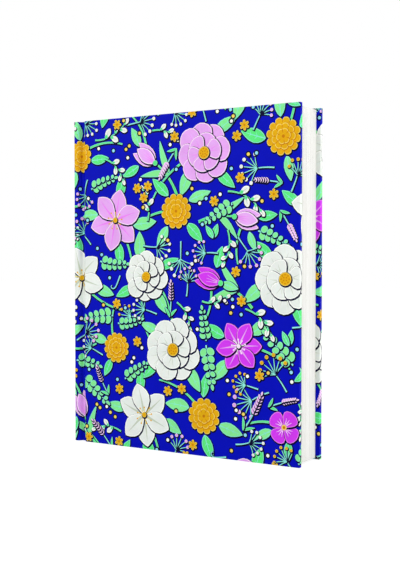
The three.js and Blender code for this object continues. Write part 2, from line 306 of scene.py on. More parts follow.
def fibre_paper(name, base, mottle, ruled=False):
    """Uncoated wood-free paper: matt, with cloudy formation and a fine felt of fibres; ruled on its faces only."""
    pages = bpy.context.scene.notebook_pages
    material, tree = new_material(name)
    place = add(tree, "ShaderNodeTexCoord")
    clouds = add(tree, "ShaderNodeTexNoise", {"Vector": place.outputs["Object"], "Scale": 190.0, "Detail": 5.0,
                                              "Roughness": 0.55})
    paper = add(tree, "ShaderNodeMix", {FACTOR: clouds, FIRST: base, SECOND: mottle}, data_type="RGBA")
    if ruled:
        where = add(tree, "ShaderNodeSeparateXYZ", [place.outputs["Object"]])
        page_face = add(tree, "ShaderNodeAttribute", attribute_name="page_face").outputs["Fac"]
        # The leaves' faces are drawn a little darker than their cut edges, which are the same paper.
        face_darkening = tuple(face / edge for face, edge in zip(pages.face, pages.paper))
        darker_faces = add(tree, "ShaderNodeMix", {FACTOR: page_face, FIRST: (1, 1, 1, 1), SECOND: face_darkening},
                    data_type="RGBA")
        # Each sheet of the block is a little warmer or cooler than the next.
        sheet = add(tree, "ShaderNodeAttribute", attribute_name="sheet").outputs["Fac"]
        tone = add(tree, "ShaderNodeTexWhiteNoise", {"W": sheet}, noise_dimensions="1D")
        level = add(tree, "ShaderNodeMapRange", {"Value": tone, "To Min": 0.955, "To Max": 1.0})
        ends = layered(tree, place.outputs["Normal"], where.outputs["Y"])
        for tint in (level.outputs[0], darker_faces.outputs[BLEND], ends.outputs[BLEND]):
            paper = add(tree, "ShaderNodeMix", {FACTOR: 1.0, FIRST: paper.outputs[BLEND], SECOND: tint},
                        data_type="RGBA", blend_type="MULTIPLY")
        paper = add(tree, "ShaderNodeMix", {FACTOR: ruling(tree, where, page_face), FIRST: paper.outputs[BLEND],
                                            SECOND: pages.rule[:]}, data_type="RGBA")
    # Fibres are far finer than this; drawn at 0.5 mm so that they show.
    long = add(tree, "ShaderNodeMapping", {"Vector": place.outputs["Object"], "Scale": (1, 1, 0.45)})
    fibres = add(tree, "ShaderNodeTexNoise", {"Vector": long, "Scale": 2000.0, "Detail": 3.0})
    felt = add(tree, "ShaderNodeBump", {"Height": fibres, "Distance": 0.00002})
    return shaded(material, {"Base Color": paper.outputs[BLEND], "Roughness": 0.82, "Specular IOR Level": 0.25,
                             "Normal": felt})


def grey_board():
    """Pulp board pressed from waste paper: dull grey-brown with flecks of fibre and a felt-marked face."""
    material, tree = new_material("pressed_grey_board")
    place = add(tree, "ShaderNodeTexCoord").outputs["Object"]
    long = add(tree, "ShaderNodeMapping", {"Vector": place, "Scale": (1, 1, 0.3)})
    flecks = add(tree, "ShaderNodeTexNoise", {"Vector": long, "Scale": 1600.0, "Detail": 6.0, "Roughness": 0.7})
    spread = add(tree, "ShaderNodeMapRange", {"Value": flecks, "From Min": 0.36, "From Max": 0.64})
    pale = bpy.context.scene.notebook_binding.board[:]
    body = add(tree, "ShaderNodeMix", {FACTOR: spread, FIRST: linear("#6E695F"), SECOND: pale}, data_type="RGBA")
    felt = add(tree, "ShaderNodeBump", {"Height": flecks, "Distance": 0.00006})
    return shaded(material, {"Base Color": body.outputs[BLEND], "Roughness": 0.93, "Specular IOR Level": 0.2,
                             "Normal": felt})


def kraft_lining():
    """Unbleached sulphate kraft: warm brown, machine-glazed, with fibres laid along the machine direction."""
    material, tree = new_material("unbleached_kraft_paper")
    place = add(tree, "ShaderNodeTexCoord").outputs["Object"]
    long = add(tree, "ShaderNodeMapping", {"Vector": place, "Scale": (1, 1, 0.12)})
    fibres = add(tree, "ShaderNodeTexNoise", {"Vector": long, "Scale": 1800.0, "Detail": 5.0, "Roughness": 0.65})
    pale = bpy.context.scene.notebook_binding.kraft[:]
    body = add(tree, "ShaderNodeMix", {FACTOR: fibres, FIRST: linear("#8E6A40"), SECOND: pale}, data_type="RGBA")
    felt = add(tree, "ShaderNodeBump", {"Height": fibres, "Distance": 0.00003})
    return shaded(material, {"Base Color": body.outputs[BLEND], "Roughness": 0.72, "Specular IOR Level": 0.3,
                             "Normal": felt})


def cotton_gauze():
    """Starched open-weave cotton, the binder's mull: threads about 1 mm apart both ways with dark gaps between."""
    material, tree = new_material("starched_cotton_mull")
    place = add(tree, "ShaderNodeTexCoord").outputs["Object"]
    warp, weft = (add(tree, "ShaderNodeTexWave", {"Vector": place, "Scale": 320.0, "Distortion": 0.6, "Detail": 1.0,
                                                  "Detail Scale": 2.0}, bands_direction=way).outputs["Fac"]
                  for way in ("Y", "Z"))
    woven = add(tree, "ShaderNodeMath", (warp, weft), operation="MAXIMUM")
    pale = bpy.context.scene.notebook_binding.gauze[:]
    body = add(tree, "ShaderNodeMix", {FACTOR: woven, FIRST: linear("#A9A08A"), SECOND: pale}, data_type="RGBA")
    weave = add(tree, "ShaderNodeBump", {"Height": woven, "Distance": 0.00012})
    return shaded(material, {"Base Color": body.outputs[BLEND], "Roughness": 0.9, "Specular IOR Level": 0.2,
                             "Sheen Weight": 0.15, "Normal": weave})


def twisted_thread(name, first, second):
    """Bleached two-ply thread: matt, with a soft fuzz and a slight change of tone from strand to strand."""
    material, tree = new_material(name)
    place = add(tree, "ShaderNodeTexCoord").outputs["Object"]
    strand = add(tree, "ShaderNodeAttribute", attribute_name="strand").outputs["Fac"]
    fuzz = add(tree, "ShaderNodeTexNoise", {"Vector": place, "Scale": 5200.0, "Detail": 4.0})
    body = add(tree, "ShaderNodeMix", {FACTOR: strand, FIRST: first, SECOND: second}, data_type="RGBA")
    dusty = add(tree, "ShaderNodeMix", {FACTOR: 0.35, FIRST: body.outputs[BLEND], SECOND: fuzz.outputs["Color"]},
                data_type="RGBA", blend_type="SOFT_LIGHT")
    nap = add(tree, "ShaderNodeBump", {"Height": fuzz, "Distance": 0.00003})
    return shaded(material, {"Base Color": dusty.outputs[BLEND], "Roughness": 0.78, "Specular IOR Level": 0.3,
                             "Sheen Weight": 0.3, "Sheen Roughness": 0.4, "Normal": nap})


# Flat painted shapes, in millimetres


def blade(reach, width, taper=1.0, blunt=1.0, bend=0.0, steps=8):
    """A petal or leaf from the origin along +X: widest further out where taper grows, rounder where blunt falls."""
    share = (1 - np.cos(np.pi * np.linspace(0, 1, steps + 1))) / 2
    half = width / 2 * np.clip(np.sin(np.pi * share**taper), 0, None) ** blunt
    lower = np.column_stack([share * reach, -half])
    upper = np.column_stack([share * reach, half])[1:-1][::-1]
    outline = np.vstack([lower, upper])
    outline[:, 1] += bend * reach * (outline[:, 0] / reach) ** 2
    return outline


def disc(radius, points=18, lobes=0, depth=0.0, sharp=1.0):
    """A circle, or with lobes a scalloped one."""
    angle = np.linspace(0, 2 * np.pi, points, endpoint=False)
    reach = radius * (1 - depth + depth * np.abs(np.cos(angle * lobes / 2)) ** sharp)
    return np.column_stack([np.cos(angle), np.sin(angle)]) * reach[:, None]


def bowed(reach, bend, steps=8):
    """A line from the origin along +X that turns by bend on its way."""
    share = (np.arange(steps) + 0.5) / steps
    step = reach / steps * np.column_stack([np.cos(bend * share), np.sin(bend * share)])
    return np.vstack([[0, 0], np.cumsum(step, axis=0)])


def normals_of(line, closed):
    """Unit vectors to the right of a line, point by point."""
    if closed:
        along = np.roll(line, -1, 0) - np.roll(line, 1, 0)
    else:
        along = np.gradient(line, axis=0)
    right = np.column_stack([along[:, 1], -along[:, 0]])
    return right / np.maximum(np.linalg.norm(right, axis=1), 1e-9)[:, None]


def stroke(line, start_width, end_width):
    """A brush stroke along a line."""
    half = np.linspace(start_width, end_width, len(line))[:, None] / 2
    right = normals_of(line, closed=False)
    return np.vstack([line + right * half, (line - right * half)[::-1]])


def grown(outline, by):
    """An outline pushed out, or in where by is negative."""
    return outline + normals_of(outline, closed=True) * by


class FloralPrint:
    """Flat painted shapes, each with its ink, kept in layers that are printed one over the other."""

    def __init__(self, settings):
        self.layers = {}
        self.level = 0
        self.inks = {p.identifier: getattr(settings, p.identifier)[:] for p in settings.bl_rna.properties
                     if p.type == "FLOAT" and getattr(p, "array_length", 0) == 4}
        self.outline_width = settings.outline_width / MM
        self.rim_width = settings.rim_width / MM
        self.count = 0

    def paint(self, outline, ink, at, turn=0.0, body=0.0):
        """Adds one shape, drawn at the origin and then turned and moved into place."""
        cos, sin = math.cos(turn), math.sin(turn)
        placed = outline @ np.array([[cos, sin], [-sin, cos]]) + np.array(at)
        self.count += 1
        self.layers.setdefault(self.level, []).append((placed, ink, body, (at[0], at[1], cos, sin, self.count % 61)))

    def framed(self, outline, fill, rim, at, turn=0.0, rim_share=1.0, outlined=1.0):
        """A shape with its navy outline, light rim and brushed body."""
        if outlined:
            shadow = (at[0] + self.outline_width * 0.4, at[1] - self.outline_width * 0.5)
            self.paint(grown(outline, self.outline_width * 0.7 * outlined), "outline", shadow, turn)
        self.paint(outline, rim, at, turn)
        self.paint(grown(outline, -self.rim_width * rim_share), fill, at, turn, 1.0)

    def shapes(self):
        """Every shape, from the lowest to the topmost."""
        return [shape for level in sorted(self.layers) for shape in self.layers[level]]


def about(rng, value, share=0.12):
    """A value give or take a share of it."""
    return value * rng.uniform(1 - share, 1 + share)


def moved(at, reach, turn):
    """The point at a distance and direction from another."""
    return at[0] + reach * math.cos(turn), at[1] + reach * math.sin(turn)


def carried(at, turn, point):
    """Where a point of a shape comes to lie once the shape is turned and moved into place."""
    return moved(at, math.hypot(*point), turn + math.atan2(point[1], point[0]))


def rosette(pen, rng, at, radius, turn, fill, rim, fold, heart):
    """Two rings of round petals about a dotted button."""
    for count, reach, breadth, shift in ((8, 1.0, 0.8, 0.0), (6, 0.62, 0.66, 0.4)):
        for petal in range(count):
            angle = turn + (petal + shift) * 2 * math.pi / count + rng.uniform(-0.05, 0.05)
            long = about(rng, radius * reach, 0.05)
            pen.framed(blade(long, radius * breadth, 1.7, 0.55, steps=9), fill, rim, at, angle, 1.2)
            for side in (-0.2, 0.2):
                fibre = bowed(long * rng.uniform(0.3, 0.42), side, 3)
                pen.paint(stroke(fibre, 0.55, 0.1), fold, moved(at, long * 0.44, angle + side * 0.35), angle + side)
    pen.framed(disc(radius * 0.2, 16), heart[0], heart[1], at, 0, 0.8)
    for ring, dots in ((0.13, 8), (0.06, 4)):
        for dot in range(dots):
            pen.paint(disc(radius * 0.024, 6), "amber", moved(at, radius * ring, turn + dot * 2 * math.pi / dots))


def star_bloom(pen, rng, at, radius, turn, fill, rim, fold, heart):
    """Six pointed petals with a darker midrib each, and a tuft of stamens."""
    for petal in (0, 2, 4, 1, 3, 5):
        angle = turn + petal * math.pi / 3 + rng.uniform(-0.06, 0.06)
        bend = rng.uniform(-0.09, 0.09)
        pen.framed(blade(radius, radius * 0.66, 1.15, 0.8, bend, 9), fill, rim, at, angle, 1.3)
        rib = bowed(radius * 0.72, bend * 1.6, 5)
        pen.paint(stroke(rib, radius * 0.085, 0.15), fold, moved(at, radius * 0.12, angle), angle)
    for stamen in range(9):
        angle = turn + stamen * 2 * math.pi / 9
        long = about(rng, radius * 0.27, 0.15)
        pen.paint(stroke(bowed(long, 0.3, 3), 0.55, 0.4), heart[1], at, angle)
        pen.paint(disc(0.62, 7), heart[0], moved(at, long, angle + 0.15))
    pen.framed(disc(radius * 0.085, 10), heart[0], heart[1], at, 0, 0.5)


def marigold(pen, rng, at, radius, turn, fill, rim, fold):
    """A button of scalloped rings, the smaller on the larger, with folds between their lobes."""
    for reach, lobes in ((1.0, 12), (0.7, 9), (0.42, 6)):
        heading = turn + reach * 3
        outline = disc(radius * reach, lobes * 6, lobes, 0.17, 0.5)
        if reach < 1:
            pen.paint(grown(outline, 0.35), fold, moved(at, 0.3, -0.9), heading)
        pen.framed(outline, fill, rim, at, heading, 1.0, reach == 1.0)
        for lobe in range(lobes):
            angle = heading + (lobe + 0.5) * 2 * math.pi / lobes
            crease = stroke(bowed(radius * about(rng, 0.15, 0.2), 0.0, 1), 0.62, 0.2)
            pen.paint(crease, fold, moved(at, radius * reach * 0.83, angle), angle + math.pi)
    pen.paint(disc(radius * 0.09, 8), fold, at)


def tulip(pen, rng, at, size, turn, fill, rim, fold):
    """A cup of five petals seen from the side, with its stem and two long leaves."""
    root = moved(at, -size * 0.45, turn)
    top_level = pen.level
    pen.level = 0
    stem = bowed(size * 1.5, rng.choice((-0.6, 0.6)), 8)
    pen.framed(stroke(stem, 1.3, 1.9), "green", "mint", root, turn + math.pi, 0.6)
    for side in (-1, 1):
        pen.framed(blade(size * 1.25, size * 0.26, 0.8, 0.8, side * 0.22, 9), "light_green", "mint",
                   moved(root, size * 0.75, turn + math.pi), turn + side * 0.42)
    pen.level = top_level
    for angle, share, ink in ((0.3, 0.92, fold), (-0.3, 0.92, fold), (0.52, 1.0, fill), (-0.52, 1.0, fill)):
        bend = -0.3 if angle > 0 else 0.3
        pen.framed(blade(size * share, size * 0.4, 1.05, 0.72, bend, 8), ink, rim, root, turn + angle)
    pen.framed(blade(size * 0.95, size * 0.5, 1.0, 0.75, 0.0, 9), fill, rim, root, turn, 1.4)
    for side in (-0.12, 0.0, 0.12):
        pen.paint(stroke(bowed(size * 0.45, side, 3), 0.6, 0.15), fold, moved(root, size * 0.14, turn + side * 2),
                  turn + side)
    pen.framed(disc(size * 0.1, 10), "green", "mint", root, 0, 0.5)


def quatrefoil(pen, rng, at, radius, turn, fill, rim, fold):
    """A small flower of four broad petals."""
    for petal in range(4):
        angle = turn + petal * math.pi / 2 + rng.uniform(-0.08, 0.08)
        pen.framed(blade(radius, radius * 1.02, 1.75, 0.5, steps=8), fill, rim, at, angle, 0.9)
        for side in (-0.28, 0.0, 0.28):
            pen.paint(stroke(bowed(radius * 0.36, side, 2), 0.55, 0.15), fold,
                      moved(at, radius * 0.2, angle + side), angle + side)
    pen.paint(disc(radius * 0.17, 10), "pale_gold", at)
    pen.paint(disc(radius * 0.09, 8), "amber", at)


def veined_leaf(pen, rng, at, reach, turn, fill, rim):
    """A pointed leaf with its midrib and side veins."""
    bend = rng.uniform(-0.14, 0.14)
    pen.framed(blade(reach, reach * rng.uniform(0.4, 0.5), 0.82, 0.85, bend, 9), fill, rim, at, turn)
    pen.paint(stroke(bowed(reach * 0.86, bend * 1.7, 6), 0.75, 0.2), rim, at, turn)
    for share in (0.32, 0.58):
        for side in (-1, 1):
            start = moved(at, reach * share, turn + bend * share * 0.9)
            pen.paint(stroke(bowed(reach * 0.16 * (1.2 - share), side * 0.3, 2), 0.42, 0.14), rim, start,
                      turn + bend * share + side * 0.75)


def coin_branch(pen, rng, at, reach, turn):
    """A bowed stem with pairs of round leaves that shrink towards its tip."""
    bend = rng.uniform(-0.5, 0.5)
    line = bowed(reach, bend, 10)
    pen.framed(stroke(line, 1.1, 0.5), "mint", "aqua", at, turn, 0.5)
    for pair in range(1, 6):
        joint = carried(at, turn, line[pair * 2 - 1])
        radius = reach * (0.115 - 0.011 * pair)
        for side in (-1, 1):
            direction = turn + bend * pair / 5.5 + side * 0.95
            pen.framed(disc(radius, 13) * (1.15, 0.95), "light_green", "mint",
                       moved(joint, radius * 1.25, direction), direction, 0.9)
    tip = carried(at, turn, line[-1])
    pen.framed(blade(reach * 0.17, reach * 0.1, 0.9, 0.7, 0, 6), "light_green", "mint", tip, turn + bend, 0.8)


def lavender(pen, rng, at, reach, turn, fill, rim):
    """A stem with pairs of buds close together up its top half."""
    bend = rng.uniform(-0.35, 0.35)
    line = bowed(reach, bend, 12)
    pen.framed(stroke(line, 0.9, 0.5), "mint", "aqua", at, turn, 0.4)
    for leaf in (-1, 1):
        pen.framed(blade(reach * 0.34, 1.9, 0.9, 0.7, leaf * 0.2, 7), "green", "mint", at, turn + leaf * 0.45, 0.7)
    for pair in range(6, 13):
        joint = carried(at, turn, line[pair])
        long = reach * (0.17 - 0.008 * (pair - 5))
        for side in (-1, 1) if pair < 12 else (0,):
            pen.framed(blade(long, long * 0.5, 1.15, 0.65, 0, 5), fill, rim, joint,
                       turn + bend * pair / 12 + side * 0.6, 0.75, 0.8)


def budding_arch(pen, rng, at, reach, turn, fill, rim, fold):
    """An arching stem with fat buds on short stalks along it."""
    bend = rng.choice((-1, 1)) * 0.9
    line = bowed(reach, bend, 12)
    pen.framed(stroke(line, 1.1, 0.6), "green", "mint", at, turn, 0.5)
    for order, step in enumerate((4, 6, 8, 10, 12)):
        joint = carried(at, turn, line[step])
        side = (1, -1)[order % 2] if step < 12 else 0
        heading = turn + bend * step / 12 + side * 0.85
        long = reach * (0.29 - 0.02 * order)
        pen.framed(blade(long, long * 0.56, 1.25, 0.65, 0, 7), fill, rim, joint, heading)
        pen.paint(stroke(bowed(long * 0.5, 0, 2), 0.7, 0.2), fold, moved(joint, long * 0.25, heading), heading)
        pen.framed(blade(long * 0.4, long * 0.34, 0.8, 0.7, 0, 5), "green", "mint", joint, heading, 0.6, 0.0)


def umbel(pen, rng, at, reach, turn):
    """Fine rays that spread from a stem, each with a bead of blossom."""
    stem = bowed(reach * 0.5, rng.uniform(-0.3, 0.3), 5)
    pen.framed(stroke(stem, 0.9, 0.6), "mint", "aqua", at, turn, 0.3)
    hub = carried(at, turn, stem[-1])
    bead, glint = rng.choice((("white", "cream"), ("blush", "pink"), ("pale_gold", "gold")))
    for ray in range(7):
        angle = turn + (ray - 3) * 0.36
        long = reach * (0.5 - 0.035 * abs(ray - 3)) * rng.uniform(0.92, 1.06)
        pen.framed(stroke(bowed(long, (ray - 3) * 0.12, 3), 0.62, 0.45), "mint", "aqua", hub, angle, 0.1, 0.6)
        tip = moved(hub, long, angle + (ray - 3) * 0.06)
        pen.framed(disc(reach * 0.052, 8), glint, bead, tip, 0, 0.6, 0.7)


def tiny_star(pen, at, radius, turn):
    """A six-lobed blossom a few millimetres across."""
    pen.framed(disc(radius, 36, 6, 0.5, 0.8), "gold", "pale_gold", at, turn, 0.7)
    pen.paint(disc(radius * 0.2, 7), "amber", at)


def tendril(pen, rng, at, reach, turn):
    """A stem that winds up at its tip."""
    share = np.linspace(0, 1, 22)
    heading = rng.choice((-1, 1)) * (0.2 * share + 7.5 * np.clip(share - 0.35, 0, 1) ** 1.5)
    step = reach / 22 * np.column_stack([np.cos(heading), np.sin(heading)]) * (1.35 - share)[:, None]
    line = np.vstack([[0, 0], np.cumsum(step, axis=0)])
    pen.framed(stroke(line, 1.0, 0.45), "mint", "aqua", at, turn, 0.4)


LEAF_RADIUS = 3.6  # mm round a leaf's tip in which nothing else is set
SPRIG_ROOM = 2.0  # mm free round a sprig's stem before it is set
SPRIG_RADIUS = 2.9  # mm round its stem in which nothing else is set
SPRIG_TRIES = 9000
# Radius in mm, gap round it in mm, and tries: flowers, paired leaves and tendrils, stars, dots.
FILLERS = ((7.4, 0.6, 2600), (5.2, 0.6, 2600), (3.4, 0.7, 3600), (1.1, 0.9, 3000))
BLOOM_INKS = (
    ("cream", "white", "shade", ("gold", "pale_gold")),
    ("pink", "blush", "orchid", ("gold", "pale_gold")),
    ("magenta", "orchid", "pink", ("blush", "white")),
)


def lay_out(pen, settings, half_width, low, high):
    """Fills the flat sheet with flowers, leaves and sprigs. The same seed gives the same sheet."""
    rng = random.Random(settings.layout_seed)
    largest = settings.bloom_radius / MM
    taken = np.zeros((0, 3))

    def room(x, y):
        return np.min(np.hypot(taken[:, 0] - x, taken[:, 1] - y) - taken[:, 2]) if len(taken) else 1e3

    def take(x, y, radius):
        nonlocal taken
        taken = np.vstack([taken, [x, y, radius]])

    # Main flowers on a loose honeycomb of three sizes.
    column, row = largest * 2.42, largest * 2.06
    main = []
    for j in range(-1, int((high - low) / row) + 2):
        for i in range(-int(half_width / column) - 1, int(half_width / column) + 2):
            kind = (i + 2 * j) % 3
            radius = largest * (1.0, 0.78, 0.6)[kind] * rng.uniform(0.94, 1.04)
            x = (i + 0.5 * (j % 2)) * column + rng.uniform(-0.2, 0.2) * largest
            y = low + j * row + rng.uniform(-0.2, 0.2) * largest
            if room(x, y) > radius * 0.9:
                main.append((x, y, radius, kind, rng.uniform(0, 2 * math.pi), rng.random()))
                take(x, y, radius)
    for x, y, radius, kind, turn, pick in main:
        at = (x, y)
        pen.level = 0
        heading = rng.uniform(0, 2 * math.pi)
        stem = bowed(radius * 2.5, rng.choice((-0.9, 0.9)), 10)
        pen.framed(stroke(stem, 1.7, 1.0), "green", "mint", at, heading, 0.6)
        pen.level = 1
        for leaf in range(rng.choice((3, 4)) if kind < 2 else 2):
            angle = heading + 0.8 + leaf * 1.55 + rng.uniform(-0.3, 0.3)
            foot = moved(at, radius * 0.72, angle)
            ink = "green" if leaf % 2 else "light_green"
            long = about(rng, 16.5 if kind < 2 else 13.0)
            veined_leaf(pen, rng, foot, long, angle + rng.uniform(-0.35, 0.35), ink, "mint")
            tip = moved(foot, long * 0.62, angle)
            take(*tip, LEAF_RADIUS)
        pen.level = 4 - kind
        if kind == 0:
            inks = BLOOM_INKS[0 if pick < 0.75 else 1]
            (rosette if pick < 0.4 or pick > 0.85 else star_bloom)(pen, rng, at, radius, turn, *inks)
        elif kind == 1:
            if pick < 0.3:
                marigold(pen, rng, at, radius * 0.7, turn, "gold", "pale_gold", "amber")
            elif pick < 0.45:
                star_bloom(pen, rng, at, radius, turn, *BLOOM_INKS[2])
            else:
                rosette(pen, rng, at, radius, turn, *BLOOM_INKS[1 if pick < 0.72 else 0])
        elif pick < 0.55:
            inks = ("magenta", "orchid", "pink") if pick < 0.27 else ("pink", "blush", "orchid")
            tulip(pen, rng, at, radius * 1.5, turn, *inks)
        elif pick < 0.72:
            marigold(pen, rng, at, radius * 0.82, turn, "gold", "pale_gold", "amber")
        else:
            quatrefoil(pen, rng, at, radius * 0.9, turn, "magenta", "orchid", "blush")

    # Sprigs where a long shape still fits.
    pen.level = 1
    for _ in range(SPRIG_TRIES):
        x, y = rng.uniform(-half_width, half_width), rng.uniform(low, high)
        turn = rng.uniform(0, 2 * math.pi)
        reach = rng.uniform(18, 27)
        spine = [moved((x, y), reach * share, turn) for share in (0.12, 0.4, 0.68, 0.92)]
        if min(room(*point) for point in spine) > SPRIG_ROOM:
            for point in spine:
                take(*point, SPRIG_RADIUS)
            sort = rng.randrange(6)
            if sort == 0:
                lavender(pen, rng, (x, y), reach, turn, "pink", "blush")
            elif sort == 1:
                budding_arch(pen, rng, (x, y), reach, turn, "cream", "white", "shade")
            elif sort < 5:
                umbel(pen, rng, (x, y), reach, turn)
            else:
                coin_branch(pen, rng, (x, y), reach, turn)
    # Small fillers, the larger first.
    for size, gap, tries in FILLERS:
        for attempt in range(tries):
            x, y = rng.uniform(-half_width, half_width), rng.uniform(low, high)
            if room(x, y) < size + gap:
                continue
            take(x, y, size)
            turn = rng.uniform(0, 2 * math.pi)
            pen.level = 2
            if size > 7:
                inks = (("magenta", "orchid", "blush"), ("cream", "white", "pink"), ("pink", "blush", "magenta"))
                quatrefoil(pen, rng, (x, y), size, turn, *inks[attempt % 3])
            elif size > 5:
                if attempt % 2:
                    tendril(pen, rng, moved((x, y), -4.5, turn), 17.0, turn)
                else:
                    for side in (-0.42, 0.42):
                        veined_leaf(pen, rng, moved((x, y), -4.6, turn), 9.6, turn + side, "green", "mint")
            elif size > 3:
                tiny_star(pen, (x, y), size, turn)
            else:
                pen.paint(disc(size + pen.outline_width, 9), "outline", (x, y))
                pen.paint(disc(size, 9), ("white", "pale_gold", "aqua")[attempt % 3], (x, y))


# Folding the flat sheet round the case


def joint_profile():
    """Girth of the wrap over one joint: how far along the sheet, where in plan, and which way it faces."""
    wrap_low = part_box("spine_wrap")[0]
    joint_low, joint_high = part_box("front_joint_wrap")
    outer_x, outer_y = wrap_low.x / MM, -joint_low.y / MM
    radius = PRINTED_PAPER
    points = []
    for step in range(ARC_STEPS + 1):
        angle = math.pi / 2 * step / ARC_STEPS
        points.append((outer_x + radius - radius * math.cos(angle), -outer_y + radius - radius * math.sin(angle)))
    floor_y = joint_high.y / MM - radius
    groove_end = joint_high.x / MM
    floor_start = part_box("front_joint_lining")[0].x / MM
    slopes = ((floor_start - SHOULDER, floor_start, -outer_y, floor_y),
              (groove_end - RISE_START, groove_end + RISE_END, floor_y, -outer_y))
    for start, end, from_y, to_y in slopes:
        for step in range(SLOPE_STEPS + 1):
            share = step / SLOPE_STEPS
            ease = share * share * (3 - 2 * share)
            points.append((start + (end - start) * share, from_y + (to_y - from_y) * ease))
    line = np.array(points)
    keep = np.r_[True, np.linalg.norm(np.diff(line, axis=0), axis=1) > 1e-6]
    line = line[keep]
    along = np.r_[0, np.cumsum(np.linalg.norm(np.diff(line, axis=0), axis=1))]
    outward = normals_of(line, closed=False)
    outward[0], outward[-1] = (-1, 0), (0, -1)
    return outer_y - radius + along, line, outward


GIRTH, JOINT_LINE, JOINT_OUTWARD = joint_profile()


def softened(sharp, low, high):
    """Rounds a sharp fold: the outer skin, the inner skin one paper thickness under it, and the outward normal."""
    core = np.clip(sharp, low, high)
    out = sharp - core
    out /= np.maximum(np.linalg.norm(out, axis=1), 1e-9)[:, None]
    return core + out * PRINTED_PAPER, core, out


def fold_ends(v, tall, thick):
    """How deep and how high a sheet point lies once the sheet is turned in over the head and tail."""
    beyond = np.maximum(v - tall, 0) + np.maximum(-v, 0)
    inside = np.maximum(beyond - thick, 0)
    z = np.clip(v, 0, tall)
    z = z + np.where(v > tall, -inside, 0) + np.where(v < 0, inside, 0)
    return np.minimum(beyond, thick), z


def creases_at(edge, thick):
    """Where the sheet has to have an edge, so that it can round a fold there and another one thickness past it."""
    bend = (0, PRINTED_PAPER / 2, PRINTED_PAPER)
    return sorted({edge + further + side * step for further in (0, thick) for step in bend for side in (-1, 1)})


class Fold:
    """A stretch of the flat wrap, and the way it folds round a part of the case that is tall and thick."""

    side = 1

    def strip(self, low_u, high_u, turned):
        """The cut sheet of a plain stretch, with what is turned in beyond the head and tail."""
        return [(low_u, -turned), (high_u, -turned), (high_u, self.tall + turned), (low_u, self.tall + turned)]

    def uprights(self):
        """The u positions of its creases."""
        return []

    def creases(self):
        """Straight lines where the sheet has to have an edge, as u positions and v positions."""
        head = creases_at(self.tall, self.thick)
        return self.uprights(), head + [self.tall - v for v in head]


class CoverFold(Fold):
    """Wraps a cover's board: face, three edges and three mitred turn-ins."""

    def __init__(self, side):
        low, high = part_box("front_cover_wrap")
        self.side = SIDES[side]
        self.start_x = JOINT_LINE[-1][0]
        self.low, self.high = np.array(low) / MM, np.array(high) / MM
        self.thick = self.high[1] - self.low[1]
        self.start_u = GIRTH[-1]
        self.end_u = self.start_u + self.high[0] - self.start_x
        self.tall = self.high[2]

    def outline(self):
        """The cut sheet, with its corners off."""
        t, n, m, tall = self.thick, self.thick + TURN_IN, TURN_IN + MITRE_GAP, self.tall
        u0, u1 = self.start_u, self.end_u
        points = [(u0, -n), (u1 - m, -n), (u1, -t), (u1, 0), (u1 + t, 0), (u1 + n, m), (u1 + n, tall - m),
                  (u1 + t, tall), (u1, tall), (u1, tall + t), (u1 - m, tall + n), (u0, tall + n)]
        return points if self.side > 0 else [(-u, v) for u, v in reversed(points)]

    def uprights(self):
        """The u positions of its creases."""
        return sorted({self.side * u for u in creases_at(self.end_u, self.thick)})

    def place(self, flat):
        """Outer skin, inner skin and normal of flat points."""
        u, v = flat[:, 0] * self.side, flat[:, 1]
        beyond = np.maximum(u - self.end_u, 0)
        x = self.start_x + np.minimum(u, self.end_u) - self.start_u - np.maximum(beyond - self.thick, 0)
        depth, z = fold_ends(v, self.tall, self.thick)
        depth = np.maximum(depth, np.minimum(beyond, self.thick))
        sharp = np.column_stack([x, self.low[1] + depth, z])
        inset = np.array([0, PRINTED_PAPER, PRINTED_PAPER])
        low = np.array([self.start_x, self.low[1], 0]) + inset
        high = np.array([self.high[0], self.high[1], self.tall]) - PRINTED_PAPER
        mirror = np.array([1, self.side, 1])
        return tuple(part * mirror for part in softened(sharp, low, high))


class SpineFold(Fold):
    """Wraps the spine board: its face, and the turn-ins at head and tail."""

    def __init__(self):
        low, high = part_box("spine_wrap")
        self.low, self.high = np.array(low) / MM, np.array(high) / MM
        self.thick = self.high[0] - self.low[0]
        self.tall = self.high[2]
        self.half = GIRTH[0]

    def outline(self):
        """The cut sheet."""
        return self.strip(-self.half, self.half, self.thick + TURN_IN)

    def place(self, flat):
        """Outer skin, inner skin and normal of flat points."""
        depth, z = fold_ends(flat[:, 1], self.tall, self.thick)
        sharp = np.column_stack([self.low[0] + depth, -flat[:, 0], z])
        low = np.array([self.low[0] + PRINTED_PAPER, -1e3, PRINTED_PAPER])
        high = np.array([self.high[0] - PRINTED_PAPER, 1e3, self.tall - PRINTED_PAPER])
        return softened(sharp, low, high)


